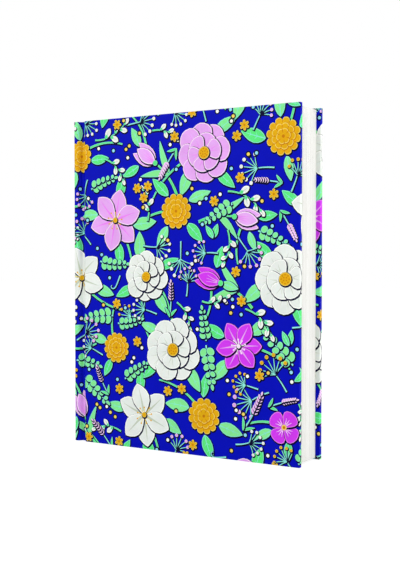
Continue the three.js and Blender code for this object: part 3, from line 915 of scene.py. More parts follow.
class JointFold(Fold):
    """The wrap over a joint, from the spine's edge or from the groove to the cover, doubled under at its ends."""

    def __init__(self, side, start, end):
        self.side = SIDES[side]
        self.start, self.end = start, end
        self.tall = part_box("front_cover_wrap")[1].z / MM
        self.thick = 2 * PRINTED_PAPER
        self.hem = self.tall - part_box("front_joint_lining")[1].z / MM - HEM_AIR

    def outline(self):
        """The cut sheet."""
        return self.strip(*sorted((self.side * self.start, self.side * self.end)), self.thick + self.hem)

    def uprights(self):
        """The u positions of its creases."""
        return sorted(self.side * u for u in GIRTH if self.start < u < self.end)

    def place(self, flat):
        """Outer skin, inner skin and normal of flat points."""
        u = flat[:, 0] * self.side
        plan = np.column_stack([np.interp(u, GIRTH, JOINT_LINE[:, k]) for k in (0, 1)])
        out = np.column_stack([np.interp(u, GIRTH, JOINT_OUTWARD[:, k]) for k in (0, 1)])
        out /= np.linalg.norm(out, axis=1)[:, None]
        depth, z = fold_ends(flat[:, 1], self.tall, self.thick)
        across, core_across = -depth, np.full(len(u), -PRINTED_PAPER)
        core_z = np.clip(z, PRINTED_PAPER, self.tall - PRINTED_PAPER)
        lift = np.column_stack([across - core_across, z - core_z])
        lift /= np.maximum(np.linalg.norm(lift, axis=1), 1e-9)[:, None]
        core = np.column_stack([plan + out * core_across[:, None], core_z])
        normal = np.column_stack([out * lift[:, :1], lift[:, 1]])
        mirror = np.array([1, self.side, 1])
        return (core + normal * PRINTED_PAPER) * mirror, core * mirror, normal * mirror


def enclosed(points, starts, ends):
    """Whether each point lies inside some closed runs of edges that turn anticlockwise."""
    x, y = points[:, :1], points[:, 1:]
    ax, ay = starts.T
    bx, by = ends.T
    turn = (bx - ax) * (y - ay) - (x - ax) * (by - ay)
    rises, falls = (ay <= y) & (by > y) & (turn > 0), (ay > y) & (by <= y) & (turn < 0)
    return rises.sum(1) > falls.sum(1)


def topmost(centres, rings):
    """For each point the last ring that runs round it, or -1."""
    by_x = np.argsort(centres[:, 0])
    sorted_x = centres[by_x, 0]
    top = np.full(len(centres), -1)
    for number, ring in enumerate(rings):
        low, high = ring.min(0), ring.max(0)
        near = by_x[slice(*np.searchsorted(sorted_x, (low[0], high[0])))]
        near = near[(centres[near, 1] > low[1]) & (centres[near, 1] < high[1])]
        top[near[enclosed(centres[near], ring, np.roll(ring, -1, axis=0))]] = number
    return top


def cut(border, border_edges, creases, drawn, drawn_edges):
    """Cuts a flat sheet along its creases and the edges drawn on it. Gives points and triangles."""
    low, high = border.min(0) - 1, border.max(0) + 1
    points, edges = [], []
    for axis, positions in enumerate(creases):
        for at in positions:
            edges.append((len(points), len(points) + 1))
            points += [(at, low[1]), (at, high[1])] if axis == 0 else [(low[0], at), (high[0], at)]
    for some, joined in ((border, border_edges), (drawn, drawn_edges)):
        edges += (joined + len(points)).tolist()
        points += some.tolist()
    flat, _, triangles, *_ = delaunay_2d_cdt([Vector(p) for p in points], edges, [], 0, 2e-3, False)
    flat, triangles = np.array([tuple(p) for p in flat]), np.array(triangles)
    triangles = triangles[enclosed(flat[triangles].mean(1), *(border[border_edges[:, k]] for k in (0, 1)))]
    used, triangles = np.unique(triangles, return_inverse=True)
    return flat[used], triangles.reshape(-1, 3)


def linked(name, data):
    """A new object in the scene."""
    made = bpy.data.objects.new(name, data)
    bpy.context.collection.objects.link(made)
    return made


def ring_edges(rings):
    """Pairs of numbers that close each of some rings whose points follow on from one another."""
    pairs, first = [], 0
    for ring in rings:
        pairs += [(first + i, first + (i + 1) % len(ring)) for i in range(len(ring))]
        first += len(ring)
    return np.array(pairs, dtype=int).reshape(-1, 2)


def seen_edges(flat, triangles, groups):
    """The edges at which one painted area meets another, with the straight runs among them made into one."""
    edges = np.sort(np.vstack([triangles[:, [0, 1]], triangles[:, [1, 2]], triangles[:, [2, 0]]]), axis=1)
    beside = np.tile(groups, 3)
    order = np.lexsort((edges[:, 1], edges[:, 0]))
    edges, beside = edges[order], beside[order]
    same = (edges[1:] == edges[:-1]).all(axis=1) & (beside[1:] != beside[:-1])
    around = {}
    for a, b in edges[1:][same].tolist():
        around.setdefault(a, set()).add(b)
        around.setdefault(b, set()).add(a)
    for point in list(around):
        ends = around[point]
        if len(ends) != 2:
            continue
        a, b = ends
        run, step = flat[b] - flat[a], flat[point] - flat[a]
        if b in around[a] or abs(run[0] * step[1] - run[1] * step[0]) > 0.006 * np.hypot(*run):
            continue
        del around[point]
        around[a].remove(point)
        around[b].remove(point)
        around[a].add(b)
        around[b].add(a)
    return np.array([(a, b) for a, ends in around.items() for b in ends if a < b], dtype=int).reshape(-1, 2)


def welded(points):
    """Numbers that give points in the same place the same number, and one point for each."""
    keys = np.round(points * 1000).astype(np.int64)
    _, first, number = np.unique(keys, axis=0, return_index=True, return_inverse=True)
    return number.reshape(-1), points[first]


def distinct(triangles):
    """Whether each triangle still has three different corners. Two that lie against one another cancel both."""
    _, number, count = np.unique(np.sort(triangles, axis=1), axis=0, return_inverse=True, return_counts=True)
    return (triangles != np.roll(triangles, 1, axis=1)).all(axis=1) & (count[number.reshape(-1)] == 1)


def rim_of(triangles):
    """Directed edges that only one triangle has."""
    edges = np.vstack([triangles[:, [0, 1]], triangles[:, [1, 2]], triangles[:, [2, 0]]])
    _, number, count = np.unique(np.sort(edges, axis=1), axis=0, return_inverse=True, return_counts=True)
    return edges[count[number.reshape(-1)] == 1]


def flat_print(fold, pen):
    """Cuts one stretch of the flat sheet along its creases and its print. Gives its points, its triangles, the
    shapes that may reach it, and the number of the uppermost shape on each triangle, or -1."""
    sheet = np.array(fold.outline())
    shapes = [shape for shape in pen.shapes()
              if (shape[0].max(0) > sheet.min(0)).all() and (shape[0].min(0) < sheet.max(0)).all()]
    creases = fold.creases()
    rings = [shape[0] for shape in shapes]
    sheet_edges = ring_edges([sheet])
    flat, triangles = cut(sheet, sheet_edges, creases, np.vstack(rings), ring_edges(rings))
    # Areas of one plain ink are one area. What they hide is left out of the second cut.
    groups = np.array([-1] + [n if shape[2] else -2 - list(pen.inks).index(shape[1]) for n, shape in enumerate(shapes)])
    edges = seen_edges(flat, triangles, groups[topmost(flat[triangles].mean(1), rings) + 1])
    used, edges = np.unique(edges, return_inverse=True)
    flat, triangles = cut(sheet, sheet_edges, creases, flat[used], edges.reshape(-1, 2))
    return flat, triangles, shapes, topmost(flat[triangles].mean(1), rings)


def folded_shell(fold, flat, triangles):
    """Folds a flat sheet and gives it a back and walls. Gives its points, its faces, of which the printed ones come
    first, which flat triangles those are, and the outward normal of each flat point."""
    outer, core, out = fold.place(flat)
    # The back of the sheet has the same border and creases and no print.
    rim, rim_edges = np.unique(rim_of(triangles), return_inverse=True)
    rim_edges = rim_edges.reshape(-1, 2)
    plain = np.zeros((0, 2), dtype=int)
    back_flat, back_triangles = cut(flat[rim], rim_edges, fold.creases(), plain, plain)
    back_core = fold.place(back_flat)[1]
    back_number, back_points = welded(np.vstack([back_core, core[rim]]))
    back = back_number[back_triangles][:, ::-1]
    number, outer_points = welded(outer)
    base = len(outer_points)
    sound = distinct(number[triangles])
    faces = number[triangles[sound]].tolist() + (base + back[distinct(back)]).tolist()
    # A wall for each edge of the flat rim. Folding brings some of its corners together, which leaves it fewer, and
    # lays some walls against one another, which cancels both.
    number, back_rim, walls = number[rim], base + back_number[len(back_core) :], {}
    for i, j in rim_edges.tolist():
        wall = [number[j], number[i], back_rim[i], back_rim[j]]
        wall = tuple(corner for place, corner in enumerate(wall) if corner != wall[place - 1])
        if len(wall) > 2 and not walls.pop(frozenset(wall), None):
            walls[frozenset(wall)] = wall
    return np.vstack([outer_points, back_points]), [*faces, *walls.values()], sound, out


def printed_sheet(name, fold, pen, material):
    """Cuts, folds and thickens one stretch of the printed wrap."""
    flat, triangles, shapes, top = flat_print(fold, pen)
    points, faces, sound, out = folded_shell(fold, flat, triangles)
    triangles, shape_of = triangles[sound], top[sound] + 1
    corners = len(triangles) * 3
    mesh = bpy.data.meshes.new(name)
    mesh.from_pydata((points * MM).tolist(), [], faces)
    mesh.update()

    # Ink, brush direction and body of each corner; the flat triangle's own corners give the brush its place.
    inks = [pen.inks["ground"]] + [pen.inks[shape[1]] for shape in shapes]
    bodies = np.array([0.0] + [shape[2] for shape in shapes])
    frames = np.array([(0, 0, 1, 0, 0)] + [shape[3] for shape in shapes])
    local = flat[triangles].reshape(-1, 2) - np.repeat(frames[shape_of, :2], 3, axis=0)
    cos, sin = (np.repeat(frames[shape_of, k], 3) for k in (2, 3))
    brush = np.zeros((len(mesh.loops), 3))
    brush[:corners] = np.column_stack([local[:, 0] * cos + local[:, 1] * sin, local[:, 1] * cos - local[:, 0] * sin,
                                       np.repeat(frames[shape_of, 4], 3) * BRUSH_PLANES])
    ink = np.tile(np.array(pen.inks["paper"]), (len(mesh.loops), 1))
    ink[:corners] = np.repeat(np.array(inks)[shape_of], 3, axis=0)
    body = np.zeros(len(mesh.loops))
    body[:corners] = np.repeat(bodies[shape_of], 3)
    mesh.attributes.new("ink", "FLOAT_COLOR", "CORNER").data.foreach_set("color", ink.ravel())
    mesh.attributes.new("brush", "FLOAT_VECTOR", "CORNER").data.foreach_set("vector", brush.ravel())
    mesh.attributes.new("body", "FLOAT", "CORNER").data.foreach_set("value", body)

    # The flat sheet is the map too: the print fills most of the square and the back lies beside it.
    low, high = flat.min(0), flat.max(0)
    uv = np.full((len(mesh.loops), 2), MAP_BACK)
    uv[:corners] = (flat[triangles].reshape(-1, 2) - low) / ((high - low).max() * MAP_MARGIN)
    mesh.uv_layers.new(name="OFBake").data.foreach_set("uv", uv.ravel())

    # Exact normals, so that the rounded folds don't shade the flat faces beside them.
    normals = np.zeros((len(mesh.loops), 3))
    normals[:corners] = out[triangles].reshape(-1, 3)
    face_normals = np.zeros(len(mesh.polygons) * 3)
    mesh.polygons.foreach_get("normal", face_normals)
    sizes = [len(face) for face in faces[len(triangles) :]]
    normals[corners:] = np.repeat(face_normals.reshape(-1, 3)[len(triangles) :], sizes, axis=0)
    mesh.normals_split_custom_set(normals.tolist())
    mesh.materials.append(material)
    return linked(name, mesh)


# Geometry Nodes pieces


def grown_mesh(name, tree, values):
    """Evaluates a Geometry Nodes tree with its inputs set, and gives the result as a plain object."""
    carrier = linked(f"{name}_nodes", bpy.data.meshes.new(f"{name}_nodes"))
    modifier = carrier.modifiers.new("Shape", "NODES")
    modifier.node_group = tree
    for item in tree.interface.items_tree:
        if item.in_out == "INPUT":
            modifier[item.identifier] = values[item.name]
    bpy.context.view_layer.update()
    mesh = bpy.data.meshes.new_from_object(carrier.evaluated_get(bpy.context.evaluated_depsgraph_get()))
    carrier.modifiers.remove(modifier)
    bpy.data.objects.remove(carrier)
    mesh.name = name
    return linked(name, mesh)


def new_group(name, inputs):
    """A Geometry Nodes group with a geometry output and named inputs."""
    tree = bpy.data.node_groups.new(name, "GeometryNodeTree")
    for label, kind in inputs.items():
        tree.interface.new_socket(label, in_out="INPUT", socket_type="NodeSocket" + kind)
    tree.interface.new_socket("Geometry", in_out="OUTPUT", socket_type="NodeSocketGeometry")
    return tree, add(tree, "NodeGroupInput").outputs


def finished(tree, geometry, material):
    """Ends a group in Realize Instances and Set Material."""
    real = add(tree, "GeometryNodeRealizeInstances", {"Geometry": geometry})
    add(tree, "NodeGroupOutput", [add(tree, "GeometryNodeSetMaterial", {"Geometry": real, "Material": material})])
    return tree


def section_group():
    """A sewn section: folded sheets one inside the other, each a long strip bent round its fold."""
    tree, given = new_group("folded_section", {
        "Sheets": "Int", "Leaf Width": "Float", "Leaf Height": "Float", "Leaf Thickness": "Float",
        "Leaf Pitch": "Float", "Fold Depth": "Float", "Set-back": "Float", "Place": "Vector", "Seed": "Int",
        "Paper": "Material"})
    thickness, pitch, depth = given["Leaf Thickness"], given["Leaf Pitch"], given["Fold Depth"]
    fold_steps = 8
    lean_share = 0.42  # of the air between two leaves
    second_leaf = 50.0  # parts the random numbers of a sheet's two leaves

    strip = add(tree, "GeometryNodeMeshCube", {"Size": (1, 1, 1), "Vertices X": fold_steps + 3, "Vertices Y": 2,
                                               "Vertices Z": 2})
    facing = add(tree, "ShaderNodeSeparateXYZ", [add(tree, "GeometryNodeInputNormal")])
    across = add(tree, "ShaderNodeMath", [facing.outputs["Y"]], operation="ABSOLUTE")
    page_face = add(tree, "ShaderNodeMath", (across, 0.5), operation="GREATER_THAN")
    marked = add(tree, "GeometryNodeStoreNamedAttribute", {"Geometry": strip, "Name": "page_face",
                                                           "Value": page_face}, data_type="FLOAT", domain="FACE")
    places = add(tree, "GeometryNodeMeshLine", {"Count": given["Sheets"], "Offset": (0, 0, 0)})
    sheets = add(tree, "GeometryNodeInstanceOnPoints", {"Points": places, "Instance": marked})
    order = add(tree, "GeometryNodeInputIndex")
    named = add(tree, "GeometryNodeStoreNamedAttribute", {"Geometry": sheets, "Name": "sheet", "Value": order},
                data_type="FLOAT", domain="INSTANCE")
    real = add(tree, "GeometryNodeRealizeInstances", {"Geometry": named})
    sheet = add(tree, "GeometryNodeInputNamedAttribute", {"Name": "sheet"}, data_type="FLOAT")
    at = add(tree, "ShaderNodeSeparateXYZ", [add(tree, "GeometryNodeInputPosition")]).outputs

    # Along the strip: one leaf, the fold, the other leaf.
    share = add(tree, "ShaderNodeMath", (at["X"], 0.5), operation="ADD")
    along = add(tree, "ShaderNodeMath", (share, fold_steps + 2.0), operation="MULTIPLY")
    bent = add(tree, "ShaderNodeMapRange", {"Value": along, "From Min": 1.0, "From Max": fold_steps + 1.0,
                                            "To Max": math.pi})
    before = add(tree, "ShaderNodeMath", (1.0, along), operation="SUBTRACT")
    after = add(tree, "ShaderNodeMath", (along, fold_steps + 1.0), operation="SUBTRACT")
    past = add(tree, "ShaderNodeMath", (after, 0.0), operation="MAXIMUM")
    outwards = add(tree, "ShaderNodeMath", (before, past), operation="MAXIMUM")

    # The fold of the outermost sheet is as deep as the section's rounding.
    from_middle = add(tree, "ShaderNodeMath", (sheet, 0.5), operation="ADD")
    middle = add(tree, "ShaderNodeMath", (pitch, from_middle), operation="MULTIPLY")
    radius = add(tree, "ShaderNodeMath", (thickness, at["Y"], middle), operation="MULTIPLY_ADD")
    half = add(tree, "ShaderNodeMath", (pitch, given["Sheets"]), operation="MULTIPLY")
    squeeze = add(tree, "ShaderNodeMath", (depth, half), operation="DIVIDE")
    rounding = add(tree, "ShaderNodeMath", (radius, squeeze), operation="MULTIPLY")
    sine = add(tree, "ShaderNodeMath", [bent], operation="SINE")
    bulge = add(tree, "ShaderNodeMath", (rounding, sine), operation="MULTIPLY")

    # Leaves are trimmed a little unevenly, and lean by less than the air between them, so that the gaps differ.
    second = add(tree, "ShaderNodeMath", (along, 2.0), operation="GREATER_THAN")
    leaf = add(tree, "ShaderNodeMath", (second, second_leaf, sheet), operation="MULTIPLY_ADD")
    chance = add(tree, "FunctionNodeRandomValue", {"Min": (-1.0, -1.0, -1.0), "Max": (0.0, 1.0, 1.0), "ID": leaf,
                                                   "Seed": given["Seed"]}, data_type="FLOAT_VECTOR")
    shift = add(tree, "ShaderNodeSeparateXYZ", [chance]).outputs
    trimmed = add(tree, "ShaderNodeMath", (shift["X"], given["Set-back"], given["Leaf Width"]),
                  operation="MULTIPLY_ADD")
    flat = add(tree, "ShaderNodeMath", (trimmed, depth), operation="SUBTRACT")
    reach = add(tree, "ShaderNodeMath", (outwards, flat), operation="MULTIPLY")
    drawn_in = add(tree, "ShaderNodeMath", (reach, bulge), operation="SUBTRACT")
    air = add(tree, "ShaderNodeMath", (pitch, thickness), operation="SUBTRACT")
    room = add(tree, "ShaderNodeMath", (air, lean_share), operation="MULTIPLY")
    tilt = add(tree, "ShaderNodeMath", (shift["Y"], outwards), operation="MULTIPLY")
    lean = add(tree, "ShaderNodeMath", (tilt, room), operation="MULTIPLY")
    cosine = add(tree, "ShaderNodeMath", [bent], operation="COSINE")
    sideways = add(tree, "ShaderNodeMath", (radius, cosine), operation="MULTIPLY")
    height = add(tree, "ShaderNodeMath", (at["Z"], 0.5), operation="ADD")

    shaped = add(tree, "ShaderNodeCombineXYZ", {
        "X": add(tree, "ShaderNodeMath", (drawn_in, depth), operation="ADD"),
        "Y": add(tree, "ShaderNodeMath", (lean, sideways), operation="SUBTRACT"),
        "Z": add(tree, "ShaderNodeMath", (height, given["Leaf Height"]), operation="MULTIPLY")})
    placed = add(tree, "ShaderNodeVectorMath", (shaped, given["Place"]), operation="ADD")
    folded = add(tree, "GeometryNodeSetPosition", {"Geometry": real, "Position": placed})
    return finished(tree, folded, given["Paper"])


def thread_group():
    """One row of sewing: two plies twisted together, lying over the folds and dipping between them."""
    tree, given = new_group("sewing_row", {
        "Start": "Vector", "End": "Vector", "Folds": "Float", "Dip": "Float", "Ply Radius": "Float",
        "Twist": "Float", "Thread": "Material"})
    pressed = 0.92  # how far each ply lies from the thread's middle, over its radius

    line = add(tree, "GeometryNodeCurvePrimitiveLine", {"Start": given["Start"], "End": given["End"]})
    points = add(tree, "GeometryNodeResampleCurve", {"Curve": line, "Count": 220})
    share = add(tree, "GeometryNodeSplineParameter").outputs["Factor"]
    folds = add(tree, "ShaderNodeMath", (share, given["Folds"]), operation="MULTIPLY")
    turn = add(tree, "ShaderNodeMath", (folds, math.pi), operation="MULTIPLY")
    wave = add(tree, "ShaderNodeMath", [add(tree, "ShaderNodeMath", [turn], operation="SINE")], operation="ABSOLUTE")
    between = add(tree, "ShaderNodeMath", (1.0, wave), operation="SUBTRACT")
    dipped = add(tree, "ShaderNodeMath", (between, given["Dip"]), operation="MULTIPLY")
    sewn = add(tree, "GeometryNodeSetPosition", {
        "Geometry": points, "Offset": add(tree, "ShaderNodeCombineXYZ", {"X": dipped})})
    twist = add(tree, "ShaderNodeMath", (share, given["Twist"]), operation="MULTIPLY")
    twisted = add(tree, "GeometryNodeSetCurveTilt", {"Curve": sewn, "Tilt": twist})
    ply = add(tree, "GeometryNodeCurvePrimitiveCircle", {"Resolution": 7, "Radius": given["Ply Radius"]})
    plies = add(tree, "GeometryNodeJoinGeometry")
    for strand, side in enumerate((-pressed, pressed)):
        aside = add(tree, "ShaderNodeMath", (given["Ply Radius"], side), operation="MULTIPLY")
        put = add(tree, "GeometryNodeTransform", {
            "Geometry": ply, "Translation": add(tree, "ShaderNodeCombineXYZ", {"X": aside})})
        tone = add(tree, "GeometryNodeStoreNamedAttribute", {"Geometry": put, "Name": "strand",
                                                             "Value": float(strand)}, data_type="FLOAT")
        tree.links.new(tone.outputs[0], plies.inputs[0])
    swept = add(tree, "GeometryNodeCurveToMesh", {"Curve": twisted, "Profile Curve": plies, "Fill Caps": True})
    return finished(tree, swept, given["Thread"])


def band_group():
    """A beaded band: thread wound close together over a cord, on a woven tape that is glued down the back."""
    tree, given = new_group("beaded_band", {
        "Windings": "Int", "Winding Pitch": "Float", "Bead Radius": "Float", "Bead Centre": "Vector",
        "Flatness": "Float", "Tape Size": "Vector", "Tape Centre": "Vector", "Thread": "Material"})
    pitch = given["Winding Pitch"]
    slant = 0.12  # of a turn against the cord, as an angle
    stripe = 3  # windings of one colour, and then as many of the other

    gaps = add(tree, "ShaderNodeMath", (given["Windings"], 1.0), operation="SUBTRACT")
    long = add(tree, "ShaderNodeMath", (gaps, pitch), operation="MULTIPLY")
    first = add(tree, "ShaderNodeMath", (long, -0.5), operation="MULTIPLY")
    row = add(tree, "GeometryNodeMeshLine", {
        "Count": given["Windings"], "Start Location": add(tree, "ShaderNodeCombineXYZ", {"Y": first}),
        "Offset": add(tree, "ShaderNodeCombineXYZ", {"Y": pitch})})
    loop = add(tree, "GeometryNodeCurvePrimitiveCircle", {"Resolution": 12, "Radius": given["Bead Radius"]})
    strand = add(tree, "GeometryNodeCurvePrimitiveCircle", {
        "Resolution": 6, "Radius": add(tree, "ShaderNodeMath", (pitch, WINDING_SHARE), operation="MULTIPLY")})
    turn = add(tree, "GeometryNodeCurveToMesh", {"Curve": loop, "Profile Curve": strand})
    stood = add(tree, "GeometryNodeTransform", {"Geometry": turn, "Rotation": (math.pi / 2, 0, slant)})
    windings = add(tree, "GeometryNodeInstanceOnPoints", {"Points": row, "Instance": stood})
    order = add(tree, "GeometryNodeInputIndex")
    within = add(tree, "ShaderNodeMath", (order, 2.0 * stripe), operation="FLOORED_MODULO")
    striped = add(tree, "ShaderNodeMath", (within, stripe - 0.5), operation="GREATER_THAN")
    darker_faces = add(tree, "GeometryNodeStoreNamedAttribute", {"Geometry": windings, "Name": "strand", "Value": striped},
                data_type="FLOAT", domain="INSTANCE")
    cord = add(tree, "GeometryNodeMeshCylinder", {"Vertices": 14, "Radius": given["Bead Radius"], "Depth": long})
    laid = add(tree, "GeometryNodeTransform", {"Geometry": cord, "Rotation": (math.pi / 2, 0, 0)})
    bead = add(tree, "GeometryNodeJoinGeometry", [darker_faces])
    tree.links.new(laid.outputs[0], bead.inputs[0])
    flattened = add(tree, "ShaderNodeCombineXYZ", {"X": 1.0, "Y": 1.0, "Z": given["Flatness"]})
    put = add(tree, "GeometryNodeTransform", {"Geometry": bead, "Translation": given["Bead Centre"],
                                              "Scale": flattened})
    tape = add(tree, "GeometryNodeMeshCube", {"Size": given["Tape Size"]})
    glued = add(tree, "GeometryNodeTransform", {"Geometry": tape, "Translation": given["Tape Centre"]})
    whole = add(tree, "GeometryNodeJoinGeometry", [put])
    tree.links.new(glued.outputs[0], whole.inputs[0])
    return finished(tree, whole, given["Thread"])


def dress(names, material):
    """Gives CAD nodes a material."""
    for name in names:
        node = frame["nodes"][name]
        node.data.materials.clear()
        node.data.materials.append(material)


def keep(made, body, slot, replaced):
    """Hands a finished piece to the frame."""
    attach(made, body)
    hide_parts(replaced)


# Operators


class NOTEBOOK_OT_stage(bpy.types.Operator):
    """Camera, plain white floor and background, and soft light"""

    bl_idname = "notebook.stage"
    bl_label = "Set Up Stage"

    def execute(self, context):
        stage = context.scene.notebook_stage
        scene = context.scene
        scene.view_settings.view_transform = "Standard"

        data = bpy.data.cameras.new("camera")
        data.lens = stage.lens
        data.clip_start = 0.01
        camera = scene.camera = linked("camera", data)
        back = Vector((math.sin(stage.turn) * math.cos(stage.rise), -math.cos(stage.turn) * math.cos(stage.rise),
                       math.sin(stage.rise)))
        camera.location = Vector(stage.aim) + back * stage.distance
        camera.rotation_euler = (-back).to_track_quat("-Z", "Y").to_euler()

        reach = stage.floor_reach
        mesh = bpy.data.meshes.new("floor")
        mesh.from_pydata([(-reach, -reach, 0), (reach, -reach, 0), (reach, reach, 0), (-reach, reach, 0)], [],
                         [(0, 1, 2, 3)])
        mesh.materials.append(self.floor_material())
        linked("floor", mesh)

        scene.world = bpy.data.worlds.new("white_room")
        scene.world.use_nodes = True
        tree = scene.world.node_tree
        tree.nodes.clear()
        light = add(tree, "ShaderNodeBackground", {"Color": (1, 1, 1, 1), "Strength": stage.sky})
        shown = add(tree, "ShaderNodeBackground", {"Color": (1, 1, 1, 1), "Strength": 1.0})
        add(tree, "ShaderNodeOutputWorld", [add(tree, "ShaderNodeMixShader", (self.seen_rays(tree), light, shown))])

        self.lamp("key_lamp", stage.key, place=(-0.75, -1.0, 0.85), size=0.8)
        self.lamp("fill_lamp", stage.fill, place=(1.2, -0.18, 0.26), size=0.9)
        return {"FINISHED"}

    def seen_rays(self, tree):
        """1 for the rays that show the background: camera, glossy and transmission."""
        rays = add(tree, "ShaderNodeLightPath").outputs
        seen = add(tree, "ShaderNodeMath", (rays["Is Camera Ray"], rays["Is Glossy Ray"]), operation="MAXIMUM")
        return add(tree, "ShaderNodeMath", (seen, rays["Is Transmission Ray"]), operation="MAXIMUM")

    def floor_material(self):
        """Matt white sweep: the part that takes light keeps the shadow, and a glow seen only by the camera lifts
        the rest to white. From below it is clear, so that the tail can be seen."""
        material, tree = new_material("white_sweep")
        lit = add(tree, "ShaderNodeBsdfDiffuse", {"Color": (0.82, 0.82, 0.82, 1)})
        dim = add(tree, "ShaderNodeBsdfDiffuse", {"Color": (0.3, 0.3, 0.3, 1)})
        glow = add(tree, "ShaderNodeEmission", {"Color": (1, 1, 1, 1), "Strength": 0.82})
        white = add(tree, "ShaderNodeAddShader", (dim, glow))
        above = add(tree, "ShaderNodeMixShader", (self.seen_rays(tree), lit, white))
        below = add(tree, "ShaderNodeNewGeometry").outputs["Backfacing"]
        sided = add(tree, "ShaderNodeMixShader", (below, above, add(tree, "ShaderNodeBsdfTransparent")))
        add(tree, "ShaderNodeOutputMaterial", [sided])
        return material

    def lamp(self, name, power, place, size):
        """A square soft lamp aimed at the middle of the notebook."""
        data = bpy.data.lights.new(name, "AREA")
        data.energy = power
        data.size = size
        lamp = linked(name, data)
        lamp.location = place
        lamp.rotation_euler = (Vector((0, 0, 0.1)) - lamp.location).to_track_quat("-Z", "Y").to_euler()


class NOTEBOOK_OT_cover_print(bpy.types.Operator):
    """The printed wrap: both covers, the spine and the two joints, with one flower print running over all"""

    bl_idname = "notebook.cover_print"
    bl_label = "Add Printed Wrap"

    def execute(self, context):
        settings = context.scene.notebook_print
        covers = {side: CoverFold(side) for side in SIDES}
        spine = SpineFold()
        front = covers["front"]
        pen = FloralPrint(settings)
        margin = front.thick + TURN_IN
        lay_out(pen, settings, front.end_u + margin, -margin, front.tall + margin)
        material = laminated_print()

        for side, fold in covers.items():
            cover = printed_sheet(f"{side}_cover_print", fold, pen, material)
            keep(cover, f"{side}_cover", "printed_wrap", f"{side}_cover_wrap")
        keep(printed_sheet("spine_print", spine, pen, material), "spine", "printed_wrap", "spine_wrap")

        # Each joint is parted on the groove's floor.
        floor_start, groove_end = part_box("front_joint_lining")[0].x / MM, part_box("front_joint_wrap")[1].x / MM
        parting = GIRTH[int(np.searchsorted(JOINT_LINE[:, 0], floor_start + PARTING))]
        rise = int(np.searchsorted(JOINT_LINE[:, 0], groove_end - RISE_START + 0.01))
        for side, sign in SIDES.items():
            half, cover = f"{side}_half", f"{side}_cover"
            for part, start, end, bodies, bend in (
                ("hinge", GIRTH[0], parting, ("spine", half), (0, ARC_STEPS)),
                ("groove", parting, GIRTH[-1], (half, cover), (rise, len(GIRTH) - 1)),
            ):
                strip = printed_sheet(f"{side}_{part}_print", JointFold(side, start, end), pen, material)
                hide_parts(f"{side}_joint_wrap")
                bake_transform(strip)
        return {"FINISHED"}


class NOTEBOOK_OT_sections(bpy.types.Operator):
    """Sewn sections of folded, ruled leaves"""

    bl_idname = "notebook.sections"
    bl_label = "Add Sections"

    def execute(self, context):
        pages = context.scene.notebook_pages
        paper = fibre_paper("ruled_uncoated_paper", pages.paper[:], linear("#F1F1EC"), ruled=True)
        tree = section_group()
        for number in range(1, SECTION_COUNT + 1):
            node = f"section_{number:02d}"
            low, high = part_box(node)
            made = grown_mesh(f"{node}_leaves", tree, {
                "Sheets": pages.leaves // 2,
                "Leaf Width": high.x - low.x,
                "Leaf Height": high.z - low.z,
                "Leaf Thickness": pages.leaf_thickness,
                "Leaf Pitch": pages.leaf_pitch,
                "Fold Depth": pages.fold_depth,
                "Set-back": pages.set_back,
                "Place": (low.x, (low.y + high.y) / 2, low.z),
                "Seed": number,
                "Paper": paper,
            })
            body = next(name for name, nodes in frame["record"]["behaviour"]["bodies"].items() if node in nodes)
            keep(made, body, "page_paper", node)
        return {"FINISHED"}


class NOTEBOOK_OT_endpapers(bpy.types.Operator):
    """Pastedowns, flyleaves and joint linings of heavier white paper"""

    bl_idname = "notebook.endpapers"
    bl_label = "Dress Endpapers"

    def execute(self, context):
        pages = context.scene.notebook_pages
        paper = fibre_paper("heavy_white_endpaper", pages.endpaper[:], linear("#EAE8E0"))
        dress([f"{side}_{part}" for side in SIDES for part in ("pastedown", "flyleaf", "joint_lining")], paper)
        return {"FINISHED"}


class NOTEBOOK_OT_boards(bpy.types.Operator):
    """Grey boards, and the kraft paper and gauze that line the spine"""

    bl_idname = "notebook.boards"
    bl_label = "Dress Boards and Linings"

    def execute(self, context):
        dress(["front_board", "back_board", "spine_board"], grey_board())
        dress(["spine_kraft_lining"], kraft_lining())
        dress(["spine_mull"], cotton_gauze())
        return {"FINISHED"}


class NOTEBOOK_OT_sewing(bpy.types.Operator):
    """Rows of twisted sewing thread across the folds"""

    bl_idname = "notebook.sewing"
    bl_label = "Add Sewing"

    def execute(self, context):
        binding = context.scene.notebook_binding
        material = twisted_thread("bleached_linen_thread", linear("#DAD4C0"), binding.thread[:])
        tree = thread_group()
        for node in sorted(name for name in frame["nodes"] if name.startswith("sewing_thread_")):
            low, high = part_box(node)
            centre = (low + high) / 2
            made = grown_mesh(f"{node}_twist", tree, {
                "Start": (centre.x, low.y, centre.z),
                "End": (centre.x, high.y, centre.z),
                "Folds": float(SECTION_COUNT),
                "Dip": binding.stitch_dip,
                "Ply Radius": binding.ply_radius,
                "Twist": 2 * math.pi * binding.thread_turns,
                "Thread": material,
            })
            keep(made, "spine", "sewing_thread", node)
        return {"FINISHED"}


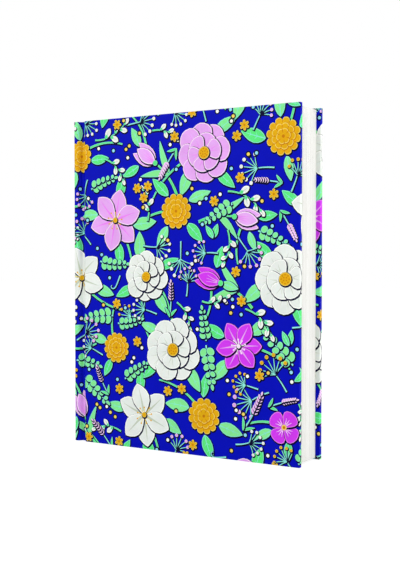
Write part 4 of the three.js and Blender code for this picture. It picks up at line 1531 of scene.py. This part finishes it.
class NOTEBOOK_OT_bands(bpy.types.Operator):
    """Beaded head and tail bands"""

    bl_idname = "notebook.bands"
    bl_label = "Add Bands"

    def execute(self, context):
        binding = context.scene.notebook_binding
        material = twisted_thread("wound_cotton_band", binding.band[:], binding.band_shade[:])
        tree = band_group()
        block_low, block_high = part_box("section_01")
        rise = binding.bead_gap + binding.bead_radius * binding.bead_flatness
        sink = binding.tape_reach / 2 - binding.tape_past
        for node, end, up in (("head_band", block_high.z, 1), ("tail_band", block_low.z, -1)):
            low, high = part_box(node)
            wide = high.y - low.y
            made = grown_mesh(f"{node}_beaded", tree, {
                "Windings": int(wide / binding.winding),
                "Winding Pitch": binding.winding,
                "Bead Radius": binding.bead_radius - binding.winding * WINDING_SHARE,
                "Bead Centre": (low.x + binding.bead_inset + binding.bead_radius, 0, end + up * rise),
                "Flatness": binding.bead_flatness,
                "Tape Size": (binding.tape_thickness, wide, binding.tape_reach),
                "Tape Centre": (low.x + binding.tape_inset, 0, end - up * sink),
                "Thread": material,
            })
            keep(made, "spine", "woven_band", node)
        return {"FINISHED"}


class NOTEBOOK_PT_panel(bpy.types.Panel):
    """Lists the notebook's operators"""

    bl_idname = "NOTEBOOK_PT_panel"
    bl_label = "Notebook"
    bl_space_type = "VIEW_3D"
    bl_region_type = "UI"
    bl_category = "Notebook"

    def draw(self, context):
        for operator in OPERATORS:
            self.layout.operator(operator.bl_idname)
        for group in ("notebook_print", "notebook_pages", "notebook_binding", "notebook_stage"):
            settings = getattr(context.scene, group)
            box = self.layout.box()
            for item in settings.bl_rna.properties:
                if item.identifier not in ("rna_type", "name"):
                    box.prop(settings, item.identifier)


GROUPS = {
    "notebook_print": NotebookPrint,
    "notebook_pages": NotebookPages,
    "notebook_binding": NotebookBinding,
    "notebook_stage": NotebookStage,
}
OPERATORS = (
    NOTEBOOK_OT_stage,
    NOTEBOOK_OT_cover_print,
    NOTEBOOK_OT_sections,
    NOTEBOOK_OT_endpapers,
    NOTEBOOK_OT_boards,
    NOTEBOOK_OT_sewing,
    NOTEBOOK_OT_bands,
)


def register():
    """Registers the settings, the operators and the panel."""
    for name, group in GROUPS.items():
        bpy.utils.register_class(group)
        setattr(bpy.types.Scene, name, PointerProperty(type=group))
    for item in (*OPERATORS, NOTEBOOK_PT_panel):
        bpy.utils.register_class(item)


def unregister():
    """Takes back what register added."""
    for item in reversed((*OPERATORS, NOTEBOOK_PT_panel)):
        bpy.utils.unregister_class(item)
    for name, group in GROUPS.items():
        delattr(bpy.types.Scene, name)
        bpy.utils.unregister_class(group)


def main():
    """Builds every piece."""
    register()
    for operator in OPERATORS:
        area, name = operator.bl_idname.split(".")
        getattr(getattr(bpy.ops, area), name)()
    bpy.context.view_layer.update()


if __name__ == "__main__":
    main()
